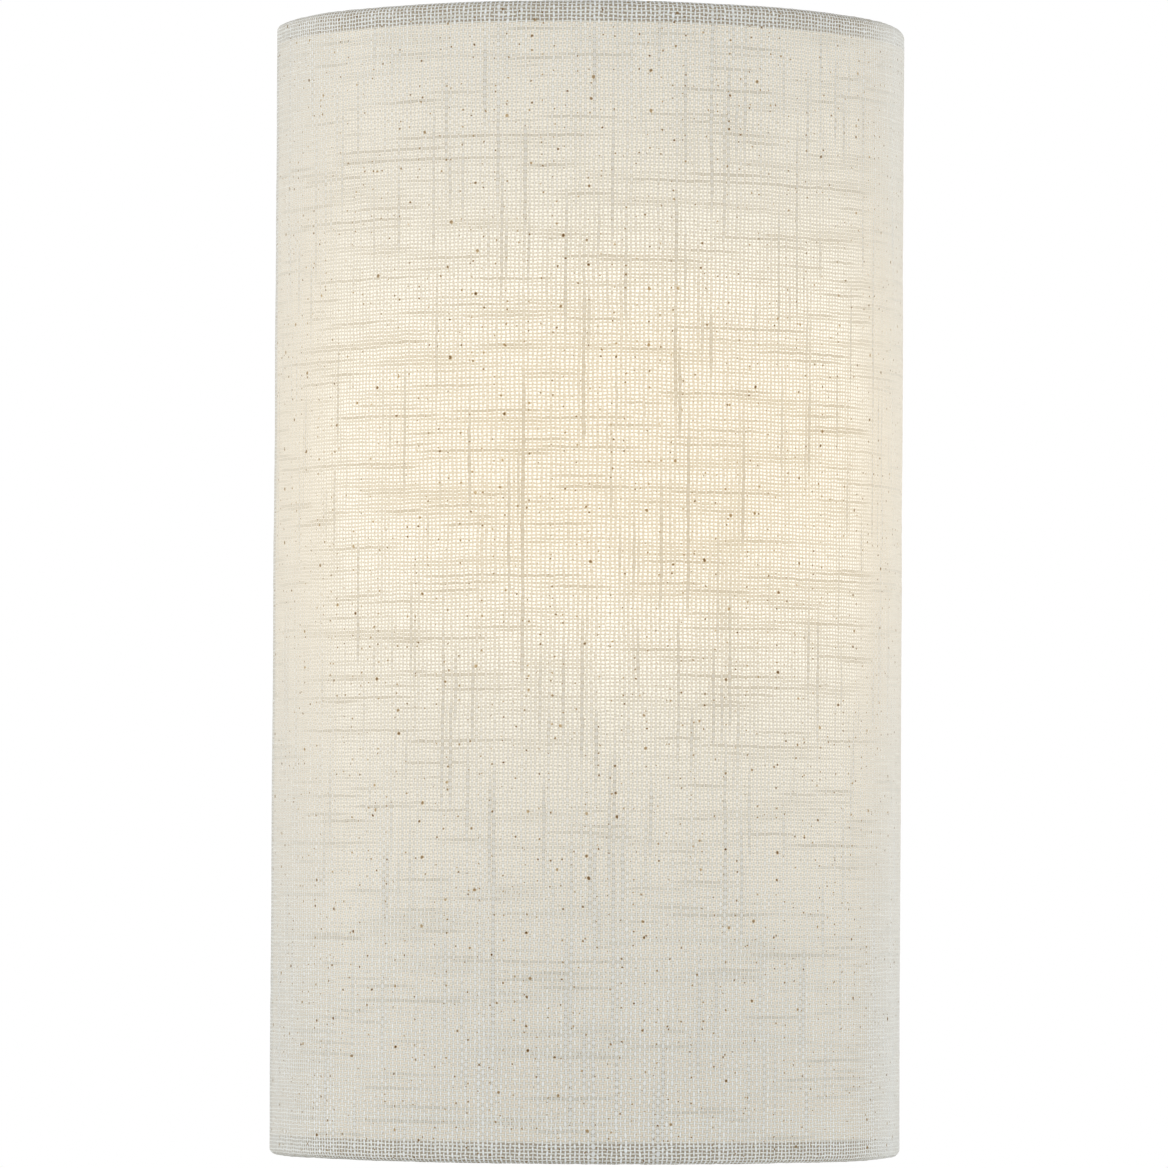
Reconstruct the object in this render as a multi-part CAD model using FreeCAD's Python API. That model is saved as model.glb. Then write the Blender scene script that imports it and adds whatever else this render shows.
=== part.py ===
import FreeCAD, Part
import math
import os

# Wall light with a half-drum cloth shade. Millimetres.
# The origin lies on the wall, midway between the two wall screws.
# +Z is up, +X is to the right as seen from the room, and the room is towards -Y.

V = FreeCAD.Vector
UP = V(0, 0, 1)
TO_WALL = V(0, 1, 0)
SIDES = {"left": -1, "right": 1}
LEVELS = {"upper": 1, "lower": -1}

# ---- Driving dimensions: shade ----
shade_width = 180.0
shade_height = 320.0
cloth_t = 0.5
liner_t = 0.4
bond_gap = 0.1          # between cloth and liner
wire_d = 3.2            # wire of the rings and stays
wrap_gap = 0.1          # between a wire and the cloth rolled over it
turn_in = 3.4           # straight end of the rolled cloth
turn_past = 35.0        # degrees that the cloth rolls past half a turn
wall_gap = 1.0          # between the shade's back edges and the wall
bar_over = 0.5          # a ring's straight bar past the centre line of its bow
weld_gap = 0.05         # between pieces that are welded or pressed together
bar_hole_gap = 0.3      # round a ring's bar where it leaves the cloth

# ---- Keyhole tabs and the shoulder studs that they hang on ----
stud_inset = 8.0        # studs in from the wall plate's side edges
stud_z = 50.0
shank_d = 4.0
stud_head_d = 9.0
stud_head_t = 1.8
collar_d = 7.0
tab_t = 1.2
tab_play = 0.3          # each side of a tab, between collar and head
slot_play = 0.2         # round the shank in a tab's slot
head_play = 0.4         # round the head in a tab's round opening
lift = 9.0              # how far the shade lifts before the heads pass
tab_over = 4.8          # tab above the top of its slot
tab_under = 3.0         # tab below its round opening
tab_inner = 4.1         # tab beside its round opening
tab_corner_r = 3.0
notch_gap = 0.5         # cloth cut away round a tab

# ---- Wall plate ----
plate_w = 156.0
plate_top = 70.0
plate_bottom = -84.0
plate_t = 1.5
plate_corner_r = 9.0
flange_w = 110.0
flange_h = 6.0
bend_r = 1.2
screw_spacing = 90.0    # between the two wall screws
screw_slot_w = 4.6
screw_slot_l = 9.6
bush_hole_d = 14.4
bush_gap = 0.1
bush_bore_d = 9.0
bush_flange_d = 19.0
bush_length = 6.0
bush_flange_t = 2.2
bush_nose_t = 1.8       # wall of the bush in front of its flange

# ---- Lamp, a globe-ended E27 lamp ----
lamp_out = 46.0         # lamp axis to the wall
lamp_centre_z = 27.0    # middle of the globe above the wall screws
globe_d = 60.0
globe_t = 1.0
lamp_length = 108.0
housing_top_d = 50.0
housing_t = 1.6
cap_d = 26.4
cap_t = 0.6
cap_length = 21.5
insulator_h = 4.0
contact_h = 1.0
contact_d = 9.0
seat_gap = 0.3          # between a piece and one on another body that it rests on
lamp_joint_gap = 0.05   # between the lamp's own pieces

# ---- Lampholder ----
skirt_d = 40.0
skirt_wall = 2.4
skirt_lip = 2.6         # depth of the inward lip at the mouth
mouth_drop = 2.5        # mouth below the top of the lamp's cap
lip_gap = 1.2           # lip to the lamp's cap
shell_play = 0.3
shell_t = 0.4
shell_drop = 1.2        # top of the shell below the lip
tongue_rise = 3.0
leaf_t = 0.5
leaf_w = 6.0
leaf_l = 12.0
insert_t = 7.0
insert_gap = 0.3
ledge_w = 2.1           # ledge in the holder cap that carries the insert
insert_sink = 1.0       # how far the insert stands in the holder cap
parting_gap = 0.3       # between the two halves of the lampholder
holder_cap_h = 19.7
holder_floor_t = 2.0
tail_w = 5.0
tail_slot_gap = 0.3

# ---- Arm, nipple and nuts ----
arm_w = 25.0
arm_t = 1.5
arm_leg = 31.0
arm_nose = 14.0         # arm past the lamp axis
arm_bend_r = 2.5
nipple_d = 10.0
nipple_bore_d = 7.4
nipple_gap = 0.2
nut_across = 14.0
nut_t = 3.0
nut_gap = 0.05
washer_d = 15.0
washer_t = 0.8
nipple_over = 0.6       # nipple past the face of each nut

# ---- Screws ----
m4_d = 4.0
m4_head_d = 7.2
m4_head_t = 2.4
m4_pitch_z = 17.0
recess_w = 0.9
recess_l = 4.2
recess_depth = 1.2
m3_d = 3.0
m3_head_d = 3.8
m3_head_t = 1.8
thread_gap = 0.05

# ---- Terminal block ----
block_x = -44.0
block_z = -24.0
pole_pitch = 9.5
block_wall = 2.0
block_h = 14.0
block_l = 18.0
clamp_w = 5.0
clamp_h = 6.0
clamp_l = 15.0
clamp_gap = 0.1
clamp_out = 8.5         # clamp axis to the wall
clamp_bore_d = 3.2
clamp_screw_d = 2.5
clamp_screw_head_d = 3.6
clamp_screw_head_t = 1.4
clamp_screw_z = 4.5
well_d = 4.4
edge_r = 0.8

# ---- Earth connection ----
earth_z = -58.0
earth_washer_d = 8.0
earth_washer_t = 0.6
tag_d = 8.4
tag_t = 0.8
tag_reach = 8.0         # screw to the middle of the tag's barrel
barrel_l = 5.0
barrel_t = 0.5
barrel_gap = 0.1

# ---- Leads ----
lead_d = 2.2
lead_end_gap = 0.3
lead_slot_gap = 1.3     # round the leads where they enter the lampholder

# ---- Worked out from the values above ----
shade_r = shade_width / 2
wire_r = wire_d / 2
roll_r = wire_r + wrap_gap + cloth_t        # outside of a rolled edge
bow_r = shade_r - roll_r                    # plan radius of the wire
back_y = -(wall_gap + roll_r)               # centre line of stays and bars
rim_z = shade_height / 2 - roll_r           # centre line of the rings
stud_x = plate_w / 2 - stud_inset
tab_y = back_y
tab_back = tab_y + tab_t / 2
tab_front = tab_y - tab_t / 2
lamp_y = -lamp_out
globe_r = globe_d / 2
tip_z = lamp_centre_z + globe_r - lamp_length
cap_foot_z = tip_z + contact_h + insulator_h
cap_top_z = cap_foot_z + cap_length
mouth_z = cap_top_z - mouth_drop
tongue_z = tip_z - seat_gap
insert_top = tongue_z - tongue_rise
insert_foot = insert_top - insert_t
skirt_r = skirt_d / 2
core_r = skirt_r - skirt_wall
holder_cap_top = insert_foot + insert_sink
skirt_foot = holder_cap_top + parting_gap
arm_top = holder_cap_top - holder_cap_h
arm_foot = arm_top - arm_t
shell_r = cap_d / 2 + shell_play
lead_r = lead_d / 2
earth_x = block_x + pole_pitch              # below the third pole


def cylinder(foot, r, h, way=UP):
    return Part.makeCylinder(r, h, foot, way)


def out_rod(x, z, y_from, y_to, r):
    """A round bar square to the wall, from y_from out to y_to."""
    return cylinder(V(x, y_from, z), r, y_from - y_to, V(0, -1, 0))


def block(low, high):
    return Part.makeBox(*(high - low), low)


def fused(first, *others):
    return first.fuse(list(others)).removeSplitter()


def line(a, b):
    return Part.LineSegment(a, b).toShape()


def face_of(edges):
    return Part.Face(Part.Wire(Part.__sortEdges__(edges)))


def polygon(points):
    return Part.Face(Part.makePolygon(points + points[:1]))


def turned(points, x=0.0, y=lamp_y):
    """A round solid about an upright axis; points are (radius, z)."""
    return polygon([V(x + r, y, z) for r, z in points]).revolve(V(x, y, 0), UP, 360)


def rounded(solid, radius, wanted):
    return solid.makeFillet(radius, [e for e in solid.Edges if wanted(e)])


def runs_along(edge, way):
    if not isinstance(edge.Curve, Part.Line):
        return False
    return abs(abs(edge.Curve.Direction.dot(way)) - 1) < 1e-6


# ---- Shade ----

def roll_edges(centre, out, over):
    """Section of cloth rolled over a wire, from its outer face to its inner face."""
    end = math.radians(180 + turn_past)
    outer, inner = roll_r, roll_r - cloth_t

    def at(r, angle):
        return centre + out * (r * math.cos(angle)) + over * (r * math.sin(angle))

    along = (out * -math.sin(end) + over * math.cos(end)) * turn_in
    tip_out, tip_in = at(outer, end) + along, at(inner, end) + along
    return [
        Part.Arc(at(outer, 0), at(outer, end / 2), at(outer, end)).toShape(),
        line(at(outer, end), tip_out),
        line(tip_out, tip_in),
        line(tip_in, at(inner, end)),
        Part.Arc(at(inner, end), at(inner, end / 2), at(inner, 0)).toShape(),
    ]


def round_front(face):
    """Turns a section that lies on the right-hand side half a turn round the front."""
    return face.revolve(V(0, back_y, 0), V(0, 0, -1), 180)


def rolled_front():
    top, foot = V(bow_r, back_y, rim_z), V(bow_r, back_y, -rim_z)
    right = V(1, 0, 0)
    faces = [V(shade_r, back_y, 0), V(shade_r - cloth_t, back_y, 0)]
    walls = [line(p + UP * rim_z, p - UP * rim_z) for p in faces]
    return round_front(face_of(roll_edges(top, right, UP) + roll_edges(foot, right, -UP) + walls))


def rolled_side(side):
    foot, out = V(side * bow_r, back_y, -rim_z), V(side, 0, 0)
    ends = line(foot + out * roll_r, foot + out * (roll_r - cloth_t))
    return face_of(roll_edges(foot, out, TO_WALL) + [ends]).extrude(UP * (2 * rim_z))


def rolled_corner(side, level):
    """The cloth over one back corner of the frame, a quarter of a ball."""
    centre = V(side * bow_r, back_y, level * rim_z)
    ball = Part.makeSphere(roll_r, centre).cut(Part.makeSphere(roll_r - cloth_t, centre))
    reach = 2 * roll_r
    z = sorted([0, level * reach])
    return ball.common(block(centre + V(-reach, 0, z[0]), centre + V(reach, reach, z[1])))


def tab_span(level):
    """Lowest and highest z of a tab."""
    rest = level * stud_z
    round_r = stud_head_d / 2 + head_play
    return rest - lift - round_r - tab_under, rest + shank_d / 2 + slot_play + tab_over


def tab_notch(side, level):
    low, high = tab_span(level)
    x = sorted([side * (bow_r - roll_r - turn_in), side * (bow_r - wire_r / 2)])
    y_low = back_y - roll_r - turn_in - cloth_t
    return block(V(x[0], y_low, low - notch_gap), V(x[1], tab_back + notch_gap, high + notch_gap))


def bar_hole(side, level):
    start = V(side * bow_r, back_y, level * rim_z)
    return cylinder(start, wire_r + bar_hole_gap, roll_r + turn_in, V(-side, 0, 0))


def bow(level, r):
    """The half-round front of a ring, of radius r in section."""
    centre = V(bow_r, back_y, level * rim_z)
    return round_front(Part.Face(Part.Wire(Part.makeCircle(r, centre, TO_WALL))))


def shade_fabric():
    """One skin. Its turned-in ends are cut where they meet the wires in the corners."""
    corners = [rolled_corner(s, k) for s in SIDES.values() for k in LEVELS.values()]
    cloth = fused(rolled_front(), *[rolled_side(s) for s in SIDES.values()], *corners)
    clear_r = wire_r + wrap_gap / 2
    holes = [hole(s, k) for s in SIDES.values() for k in LEVELS.values() for hole in (tab_notch, bar_hole)]
    holes += [bow(k, clear_r) for k in LEVELS.values()]
    holes += [cylinder(V(s * bow_r, back_y, -rim_z), clear_r, 2 * rim_z) for s in SIDES.values()]
    return cloth.cut(holes)


def shade_liner():
    outer = shade_r - cloth_t - bond_gap
    inner = outer - liner_t
    clear = math.sqrt(wire_r ** 2 - (inner - bow_r) ** 2) + 2 * wrap_gap
    z = rim_z - clear
    corners = [V(inner, back_y, -z), V(outer, back_y, -z), V(outer, back_y, z), V(inner, back_y, z)]
    sheet = round_front(polygon(corners))
    return sheet.cut(block(V(-shade_width, back_y - clear, -shade_height), V(shade_width, 0, shade_height)))


def ring(level):
    reach = bow_r + bar_over
    bar = cylinder(V(-reach, back_y, level * rim_z), wire_r, 2 * reach, V(1, 0, 0))
    return fused(bow(level, wire_r), bar)


def stay(side):
    half = rim_z - wire_r - weld_gap
    return cylinder(V(side * bow_r, back_y, -half), wire_r, 2 * half)


def tab(side, level):
    low, high = tab_span(level)
    round_r = stud_head_d / 2 + head_play
    x = sorted([side * (stud_x - round_r - tab_inner), side * (bow_r - wire_r - weld_gap)])
    plate = block(V(x[0], tab_front, low), V(x[1], tab_back, high))
    inner_x = side * (stud_x - round_r - tab_inner)
    plate = rounded(plate, tab_corner_r,
                    lambda e: runs_along(e, TO_WALL) and abs(e.CenterOfMass.x - inner_x) < 1e-3)
    stud = (side * stud_x, level * stud_z)
    slot_r = shank_d / 2 + slot_play
    slot = block(V(stud[0] - slot_r, tab_front, stud[1] - lift), V(stud[0] + slot_r, tab_back, stud[1]))
    top = out_rod(*stud, tab_back, tab_front, slot_r)
    opening = out_rod(stud[0], stud[1] - lift, tab_back, tab_front, round_r)
    return plate.cut(fused(slot, top, opening))


# ---- Wall plate and what is fixed to it ----

def stud(side, level):
    x, z = side * stud_x, level * stud_z
    head_back = tab_front - tab_play
    shank = out_rod(x, z, 0, head_back, shank_d / 2)
    collar = out_rod(x, z, -plate_t, tab_back + tab_play, collar_d / 2)
    head = out_rod(x, z, head_back, head_back - stud_head_t, stud_head_d / 2)
    head = rounded(head, stud_head_t / 3, lambda e: e.CenterOfMass.y < head_back - stud_head_t / 2)
    return fused(shank, collar, head)


def rounded_slot(x, z, width, length):
    """A level slot through the wall plate."""
    r, half = width / 2, (length - width) / 2
    middle = block(V(x - half, -plate_t, z - r), V(x + half, 0, z + r))
    return fused(middle, *[out_rod(x + s * half, z, 0, -plate_t, r) for s in (-1, 1)])


def arm_screw_places():
    top = arm_foot + arm_leg - m4_head_d
    return [(0, top), (0, top - m4_pitch_z)]


def block_screw_place():
    return block_x + pole_pitch / 2, block_z


def backplate():
    half = plate_w / 2
    plate = block(V(-half, -plate_t, plate_bottom), V(half, 0, plate_top))
    plate = rounded(plate, plate_corner_r, lambda e: runs_along(e, TO_WALL))
    for edge_z, inner_z in ((plate_top, plate_top - plate_t), (plate_bottom, plate_bottom + plate_t)):
        z = sorted([edge_z, inner_z])
        lip = block(V(-flange_w / 2, -flange_h, z[0]), V(flange_w / 2, 0, z[1]))
        lip = rounded(lip, bend_r, lambda e: runs_along(e, V(1, 0, 0))
                      and e.CenterOfMass.y > -plate_t and abs(e.CenterOfMass.z - edge_z) < 1e-3)
        trim = block(V(-flange_w / 2, -plate_t, z[0]), V(flange_w / 2, 0, z[1]))
        plate = fused(plate.cut(trim), lip)
    screws = [(*p, m4_d) for p in arm_screw_places()]
    screws += [(*block_screw_place(), m3_d), (earth_x, earth_z, m4_d)]
    screws += [(s * stud_x, k * stud_z, shank_d) for s in SIDES.values() for k in LEVELS.values()]
    holes = [out_rod(x, z, 0, -plate_t, d / 2 + thread_gap) for x, z, d in screws]
    holes += [rounded_slot(s * screw_spacing / 2, 0, screw_slot_w, screw_slot_l) for s in SIDES.values()]
    holes.append(out_rod(0, 0, 0, -plate_t, bush_hole_d / 2))
    return plate.cut(holes)


def cable_bush():
    flange_front = -plate_t - bush_flange_t
    sleeve = out_rod(0, 0, 0, -plate_t, bush_hole_d / 2 - bush_gap)
    flange = out_rod(0, 0, -plate_t, flange_front, bush_flange_d / 2)
    flange = rounded(flange, bush_flange_t / 3, lambda e: e.CenterOfMass.y < flange_front + bush_gap)
    nose = out_rod(0, 0, flange_front, -bush_length, bush_bore_d / 2 + bush_nose_t)
    return fused(sleeve, flange, nose).cut(out_rod(0, 0, 0, -bush_length, bush_bore_d / 2))


def pan_screw(x, z, seat_y, d, head_d, head_t, tip_y):
    """A pan-head screw square to the wall, with a cross recess in its head."""
    head_front = seat_y - head_t
    head = out_rod(x, z, seat_y, head_front, head_d / 2)
    head = rounded(head, head_t / 3, lambda e: e.CenterOfMass.y < seat_y - head_t / 2)
    scale = head_d / m4_head_d
    half_l, half_w, deep = recess_l * scale / 2, recess_w * scale / 2, recess_depth * head_t / m4_head_t
    for half_x, half_z in ((half_l, half_w), (half_w, half_l)):
        low = V(x - half_x, head_front, z - half_z)
        head = head.cut(block(low, V(x + half_x, head_front + deep, z + half_z)))
    return fused(head, out_rod(x, z, tip_y, seat_y, d / 2))


def lampholder_arm():
    half, front = arm_w / 2, lamp_y - arm_nose + arm_w / 2
    upright = block(V(-half, -plate_t - arm_t, arm_foot), V(half, -plate_t, arm_foot + arm_leg))
    upright = rounded(upright, arm_w / 5,
                      lambda e: runs_along(e, TO_WALL) and e.CenterOfMass.z > arm_foot + arm_leg / 2)
    level = block(V(-half, front, arm_foot), V(half, -plate_t, arm_top))
    nose = cylinder(V(0, front, arm_foot), half, arm_t)
    arm = fused(upright, level, nose)
    arm = rounded(arm, arm_bend_r, lambda e: runs_along(e, V(1, 0, 0))
                  and abs(e.CenterOfMass.y + plate_t) < 1e-3 and abs(e.CenterOfMass.z - arm_foot) < 1e-3)
    holes = [out_rod(x, z, -plate_t, -plate_t - arm_t, m4_d / 2 + thread_gap) for x, z in arm_screw_places()]
    holes.append(cylinder(V(0, lamp_y, arm_foot), nipple_d / 2 + nipple_gap, arm_t))
    return arm.cut(holes)


def arm_screws():
    seat = -plate_t - arm_t
    return Part.makeCompound([pan_screw(x, z, seat, m4_d, m4_head_d, m4_head_t, 0)
                              for x, z in arm_screw_places()])


# ---- Lampholder ----

def lampholder_skirt():
    lip_r = cap_d / 2 + lip_gap
    skirt = turned([(core_r, skirt_foot), (skirt_r, skirt_foot), (skirt_r, mouth_z), (lip_r, mouth_z),
                    (lip_r, mouth_z - skirt_lip), (core_r, mouth_z - skirt_lip)])
    return rounded(skirt, skirt_lip / 2,
                   lambda e: e.CenterOfMass.z > mouth_z - 1e-3 and e.BoundBox.XMax > lip_r + 1e-3)


def lead_levels():
    """Heights at which the neutral and live leads enter the lampholder."""
    high = insert_foot - 5.2
    return high, high - lead_d - 1.6


def lampholder_cap():
    ledge_r = core_r - ledge_w
    floor = arm_top + holder_floor_t
    hole_r = nipple_d / 2 + nipple_gap
    cap = turned([(hole_r, arm_top), (skirt_r, arm_top), (skirt_r, holder_cap_top), (core_r, holder_cap_top),
                  (core_r, insert_foot), (ledge_r, insert_foot), (ledge_r, floor), (hole_r, floor)])
    cap = rounded(cap, holder_floor_t,
                  lambda e: e.CenterOfMass.z < arm_top + 1e-3 and e.BoundBox.XMax > skirt_r - 1e-3)
    high, low = lead_levels()
    half = lead_r + lead_slot_gap
    slot = block(V(-half, lamp_y, low - half), V(half, lamp_y + skirt_d, high + half))
    return cap.cut(slot)


def shell_tail():
    """Where the screw shell's tail runs down: its y range."""
    return lamp_y + shell_r, lamp_y + shell_r + shell_t


def leaf_tail():
    """Where the centre contact's tail runs down: its y range."""
    y = lamp_y + leaf_l / 2
    return y - leaf_t, y


def tail(span, foot_z):
    half = tail_w / 2
    return block(V(-half, span[0], foot_z), V(half, span[1], insert_top))


def tail_slot(span):
    half = tail_w / 2 + tail_slot_gap
    return block(V(-half, span[0] - tail_slot_gap, insert_foot), V(half, span[1] + tail_slot_gap, insert_top))


def lampholder_insert():
    disc = cylinder(V(0, lamp_y, insert_foot), core_r - insert_gap, insert_t)
    disc = rounded(disc, edge_r, lambda e: e.CenterOfMass.z > insert_top - 1e-3)
    return disc.cut([tail_slot(shell_tail()), tail_slot(leaf_tail())])


def screw_shell():
    top = mouth_z - skirt_lip - shell_drop
    shell = turned([(shell_r, insert_top), (shell_r + shell_t, insert_top), (shell_r + shell_t, top), (shell_r, top)])
    high, low = lead_levels()
    return fused(shell, tail(shell_tail(), high - lead_r))


def centre_contact():
    high, low = lead_levels()
    back, front = lamp_y + leaf_l / 2, lamp_y - leaf_l / 2
    half = leaf_w / 2
    foot = block(V(-half, front, insert_top), V(half, back, insert_top + leaf_t))
    riser = block(V(-half, front, insert_top), V(half, front + leaf_t, tongue_z))
    tongue = block(V(-half, front, tongue_z - leaf_t), V(half, lamp_y + contact_d / 2, tongue_z))
    return fused(foot, riser, tongue, tail(leaf_tail(), low - lead_r))


def hex_nut(foot_z):
    flat, r = nut_across / 2, nipple_d / 2 + nut_gap
    tip = flat / math.cos(math.pi / 6)
    corners = [V(tip * math.cos(a), lamp_y + tip * math.sin(a), foot_z)
               for a in [math.radians(60 * k) for k in range(6)]]
    nut = polygon(corners).extrude(UP * nut_t)
    return nut.cut(cylinder(V(0, lamp_y, foot_z), r, nut_t))


def nipple_washer():
    foot = arm_foot - washer_t
    r = nipple_d / 2 + nipple_gap
    return turned([(r, foot), (washer_d / 2, foot), (washer_d / 2, arm_foot), (r, arm_foot)])


inner_nut_z = arm_top + holder_floor_t
outer_nut_z = arm_foot - washer_t - nut_t


def nipple():
    low, high = outer_nut_z - nipple_over, inner_nut_z + nut_t + nipple_over
    bore, r = nipple_bore_d / 2, nipple_d / 2
    return turned([(bore, low), (r, low), (r, high), (bore, high)])


# ---- Terminal block ----

def pole_x(pole):
    return block_x + (pole - 1) * pole_pitch


def clamp_screw_places():
    return [(pole_x(p), block_z + s * clamp_screw_z) for p in range(3) for s in (-1, 1)]


def clamp_box(pole, gap):
    half_w, half_h, half_l = clamp_w / 2 + gap, clamp_h / 2 + gap, clamp_l / 2
    centre = V(pole_x(pole), -clamp_out, block_z)
    return block(centre - V(half_w, half_h, half_l), centre + V(half_w, half_h, half_l))


def terminal_block():
    half_w = (2 * pole_pitch + clamp_w) / 2 + block_wall
    front = -plate_t - block_h
    half_l = block_l / 2
    body = block(V(block_x - half_w, front, block_z - half_l), V(block_x + half_w, -plate_t, block_z + half_l))
    body = rounded(body, edge_r, lambda e: e.CenterOfMass.y < front + edge_r)
    cuts = [clamp_box(p, clamp_gap) for p in range(3)]
    entry_r = clamp_bore_d / 2
    cuts += [cylinder(V(pole_x(p), -clamp_out, block_z - half_l), entry_r, block_l) for p in range(3)]
    cuts += [out_rod(x, z, -clamp_out, front, well_d / 2) for x, z in clamp_screw_places()]
    x, z = block_screw_place()
    cuts.append(out_rod(x, z, -plate_t, front, m3_d / 2 + thread_gap))
    cuts.append(out_rod(x, z, front + m3_head_t, front, m3_head_d / 2 + clamp_gap))
    return body.cut(cuts)


def terminal_clamps():
    clamps = []
    for p in range(3):
        bore = cylinder(V(pole_x(p), -clamp_out, block_z - clamp_l / 2), clamp_bore_d / 2, clamp_l)
        holes = [out_rod(x, z, -clamp_out, -clamp_out - clamp_h, clamp_screw_d / 2 + thread_gap)
                 for x, z in clamp_screw_places() if x == pole_x(p)]
        clamps.append(clamp_box(p, 0).cut([bore] + holes))
    return Part.makeCompound(clamps)


def terminal_screws():
    """Clamp screws, standing a head's height out of their clamps."""
    seat = -clamp_out - clamp_h / 2 - clamp_gap
    tip = -clamp_out - clamp_bore_d / 2
    return Part.makeCompound([pan_screw(x, z, seat, clamp_screw_d, clamp_screw_head_d, clamp_screw_head_t, tip)
                              for x, z in clamp_screw_places()])


def terminal_block_screw():
    seat = -plate_t - block_h + m3_head_t
    return pan_screw(*block_screw_place(), seat, m3_d, m3_head_d, m3_head_t, 0)


# ---- Earth connection ----

def earth_washer():
    ring_front = -plate_t - earth_washer_t
    disc = out_rod(earth_x, earth_z, -plate_t, ring_front, earth_washer_d / 2)
    return disc.cut(out_rod(earth_x, earth_z, -plate_t, ring_front, m4_d / 2 + thread_gap))


tag_back = -plate_t - earth_washer_t
tag_front = tag_back - tag_t
barrel_r = lead_r + barrel_gap + barrel_t
barrel_y = tag_back - barrel_r


def earth_tag():
    barrel_z = earth_z + tag_reach - barrel_l / 2
    eye = out_rod(earth_x, earth_z, tag_back, tag_front, tag_d / 2)
    neck = block(V(earth_x - barrel_r, tag_front, earth_z), V(earth_x + barrel_r, tag_back, barrel_z + barrel_l))
    barrel = cylinder(V(earth_x, barrel_y, barrel_z), barrel_r, barrel_l)
    tag = fused(eye, neck, barrel)
    bore = cylinder(V(earth_x, barrel_y, barrel_z), lead_r + barrel_gap, barrel_l)
    return tag.cut([bore, out_rod(earth_x, earth_z, tag_back, tag_front, m4_d / 2 + thread_gap)])


def earth_screw():
    return pan_screw(earth_x, earth_z, tag_front, m4_d, m4_head_d, m4_head_t, 0)


# ---- Leads ----

def lead(name, points):
    """Insulated wire along straight runs joined by tangent arcs."""
    edges, radii, start = [], [], points[0]
    for before, corner, after in zip(points, points[1:], points[2:]):
        one, two = (before - corner).normalize(), (after - corner).normalize()
        half_turn = (math.pi - one.getAngle(two)) / 2
        cut = 0.45 * min(before.distanceToPoint(corner), corner.distanceToPoint(after))
        radius = cut / math.tan(half_turn)
        middle = (one + two).normalize()
        near = corner + middle * (radius / math.cos(half_turn) - radius)
        edges += [line(start, corner + one * cut), Part.Arc(corner + one * cut, near, corner + two * cut).toShape()]
        radii.append(round(radius, 1))
        start = corner + two * cut
    edges.append(line(start, points[-1]))
    path = Part.Wire(edges)
    section = Part.Wire(Part.makeCircle(lead_r, points[0], points[1] - points[0]))
    solid = path.makePipeShell([section], True, True)
    share = solid.Volume / (math.pi * lead_r ** 2 * path.Length)
    print(name, "length", round(path.Length, 1), "radii", radii, "volume share", round(share, 4))
    return solid


def lead_live():
    high, low = lead_levels()
    x, y = pole_x(0), -clamp_out
    end_y = leaf_tail()[1] + lead_end_gap
    return lead("lead_live", [
        V(x, y, block_z - 3), V(x, y, block_z - 20), V(x + 3, y - 1, block_z - 36),
        V(x + 15.5, y - 3, low + 1), V(x + 32, y - 4.5, low), V(-7, y - 7, low),
        V(0, lamp_y + skirt_r, low), V(0, end_y, low)])


def lead_neutral():
    high, low = lead_levels()
    x, y = pole_x(1), -clamp_out
    end_y = shell_tail()[1] + lead_end_gap
    return lead("lead_neutral", [
        V(x, y, block_z - 3), V(x, y, block_z - 18), V(x + 2.5, y - 1.5, block_z - 32),
        V(x + 13, y - 3.5, high + 1.3), V(x + 27, y - 5, high), V(-6.5, y - 7, high),
        V(0, lamp_y + skirt_r + 1.5, high), V(0, end_y, high)])


def lead_earth():
    x, y = pole_x(2), -clamp_out
    end_z = earth_z + tag_reach - barrel_l / 2
    return lead("lead_earth", [
        V(x, y, block_z - 3), V(x, y, block_z - 13),
        V(earth_x, barrel_y, end_z + 6.5), V(earth_x, barrel_y, end_z)])


# ---- Lamp ----

cut_z = lamp_centre_z - math.sqrt(globe_r ** 2 - (housing_top_d / 2) ** 2)


def lamp_globe():
    outer = Part.makeSphere(globe_r, V(0, lamp_y, lamp_centre_z))
    inner = Part.makeSphere(globe_r - globe_t, V(0, lamp_y, lamp_centre_z))
    below = block(V(-globe_d, lamp_y - globe_d, tip_z), V(globe_d, lamp_y + globe_d, cut_z))
    return outer.cut([inner, below])


def lamp_housing():
    top, foot = cut_z - lamp_joint_gap, cap_top_z + lamp_joint_gap
    r_top, r_foot = housing_top_d / 2, cap_d / 2 + 1
    waist = top - (top - foot) * 0.45
    return turned([(r_foot - housing_t, foot), (r_foot, foot), (r_foot + 3.2, waist), (r_top, top - 4),
                   (r_top, top), (r_top - housing_t, top), (r_top - housing_t, top - 4),
                   (r_foot + 3.2 - housing_t, waist)])


def lamp_cap():
    r = cap_d / 2
    return turned([(r - cap_t, cap_foot_z), (r, cap_foot_z + cap_t), (r, cap_top_z),
                   (r - cap_t, cap_top_z), (r - 2 * cap_t, cap_foot_z + cap_t)])


def lamp_insulator():
    top = cap_foot_z - lamp_joint_gap
    return turned([(0, top - insulator_h + lamp_joint_gap), (contact_d / 2 + 1, top - insulator_h + lamp_joint_gap),
                   (cap_d / 2 - cap_t, top - 1), (cap_d / 2 - cap_t, top), (0, top)])


def lamp_contact():
    r = contact_d / 2
    foot = cylinder(V(0, lamp_y, tip_z), r, contact_h - lamp_joint_gap)
    return rounded(foot, contact_h / 2, lambda e: e.CenterOfMass.z < tip_z + 1e-3)


def named(prefix, make):
    return {f"{prefix}_{level}_{side}": make(s, k)
            for level, k in LEVELS.items() for side, s in SIDES.items()}


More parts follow.
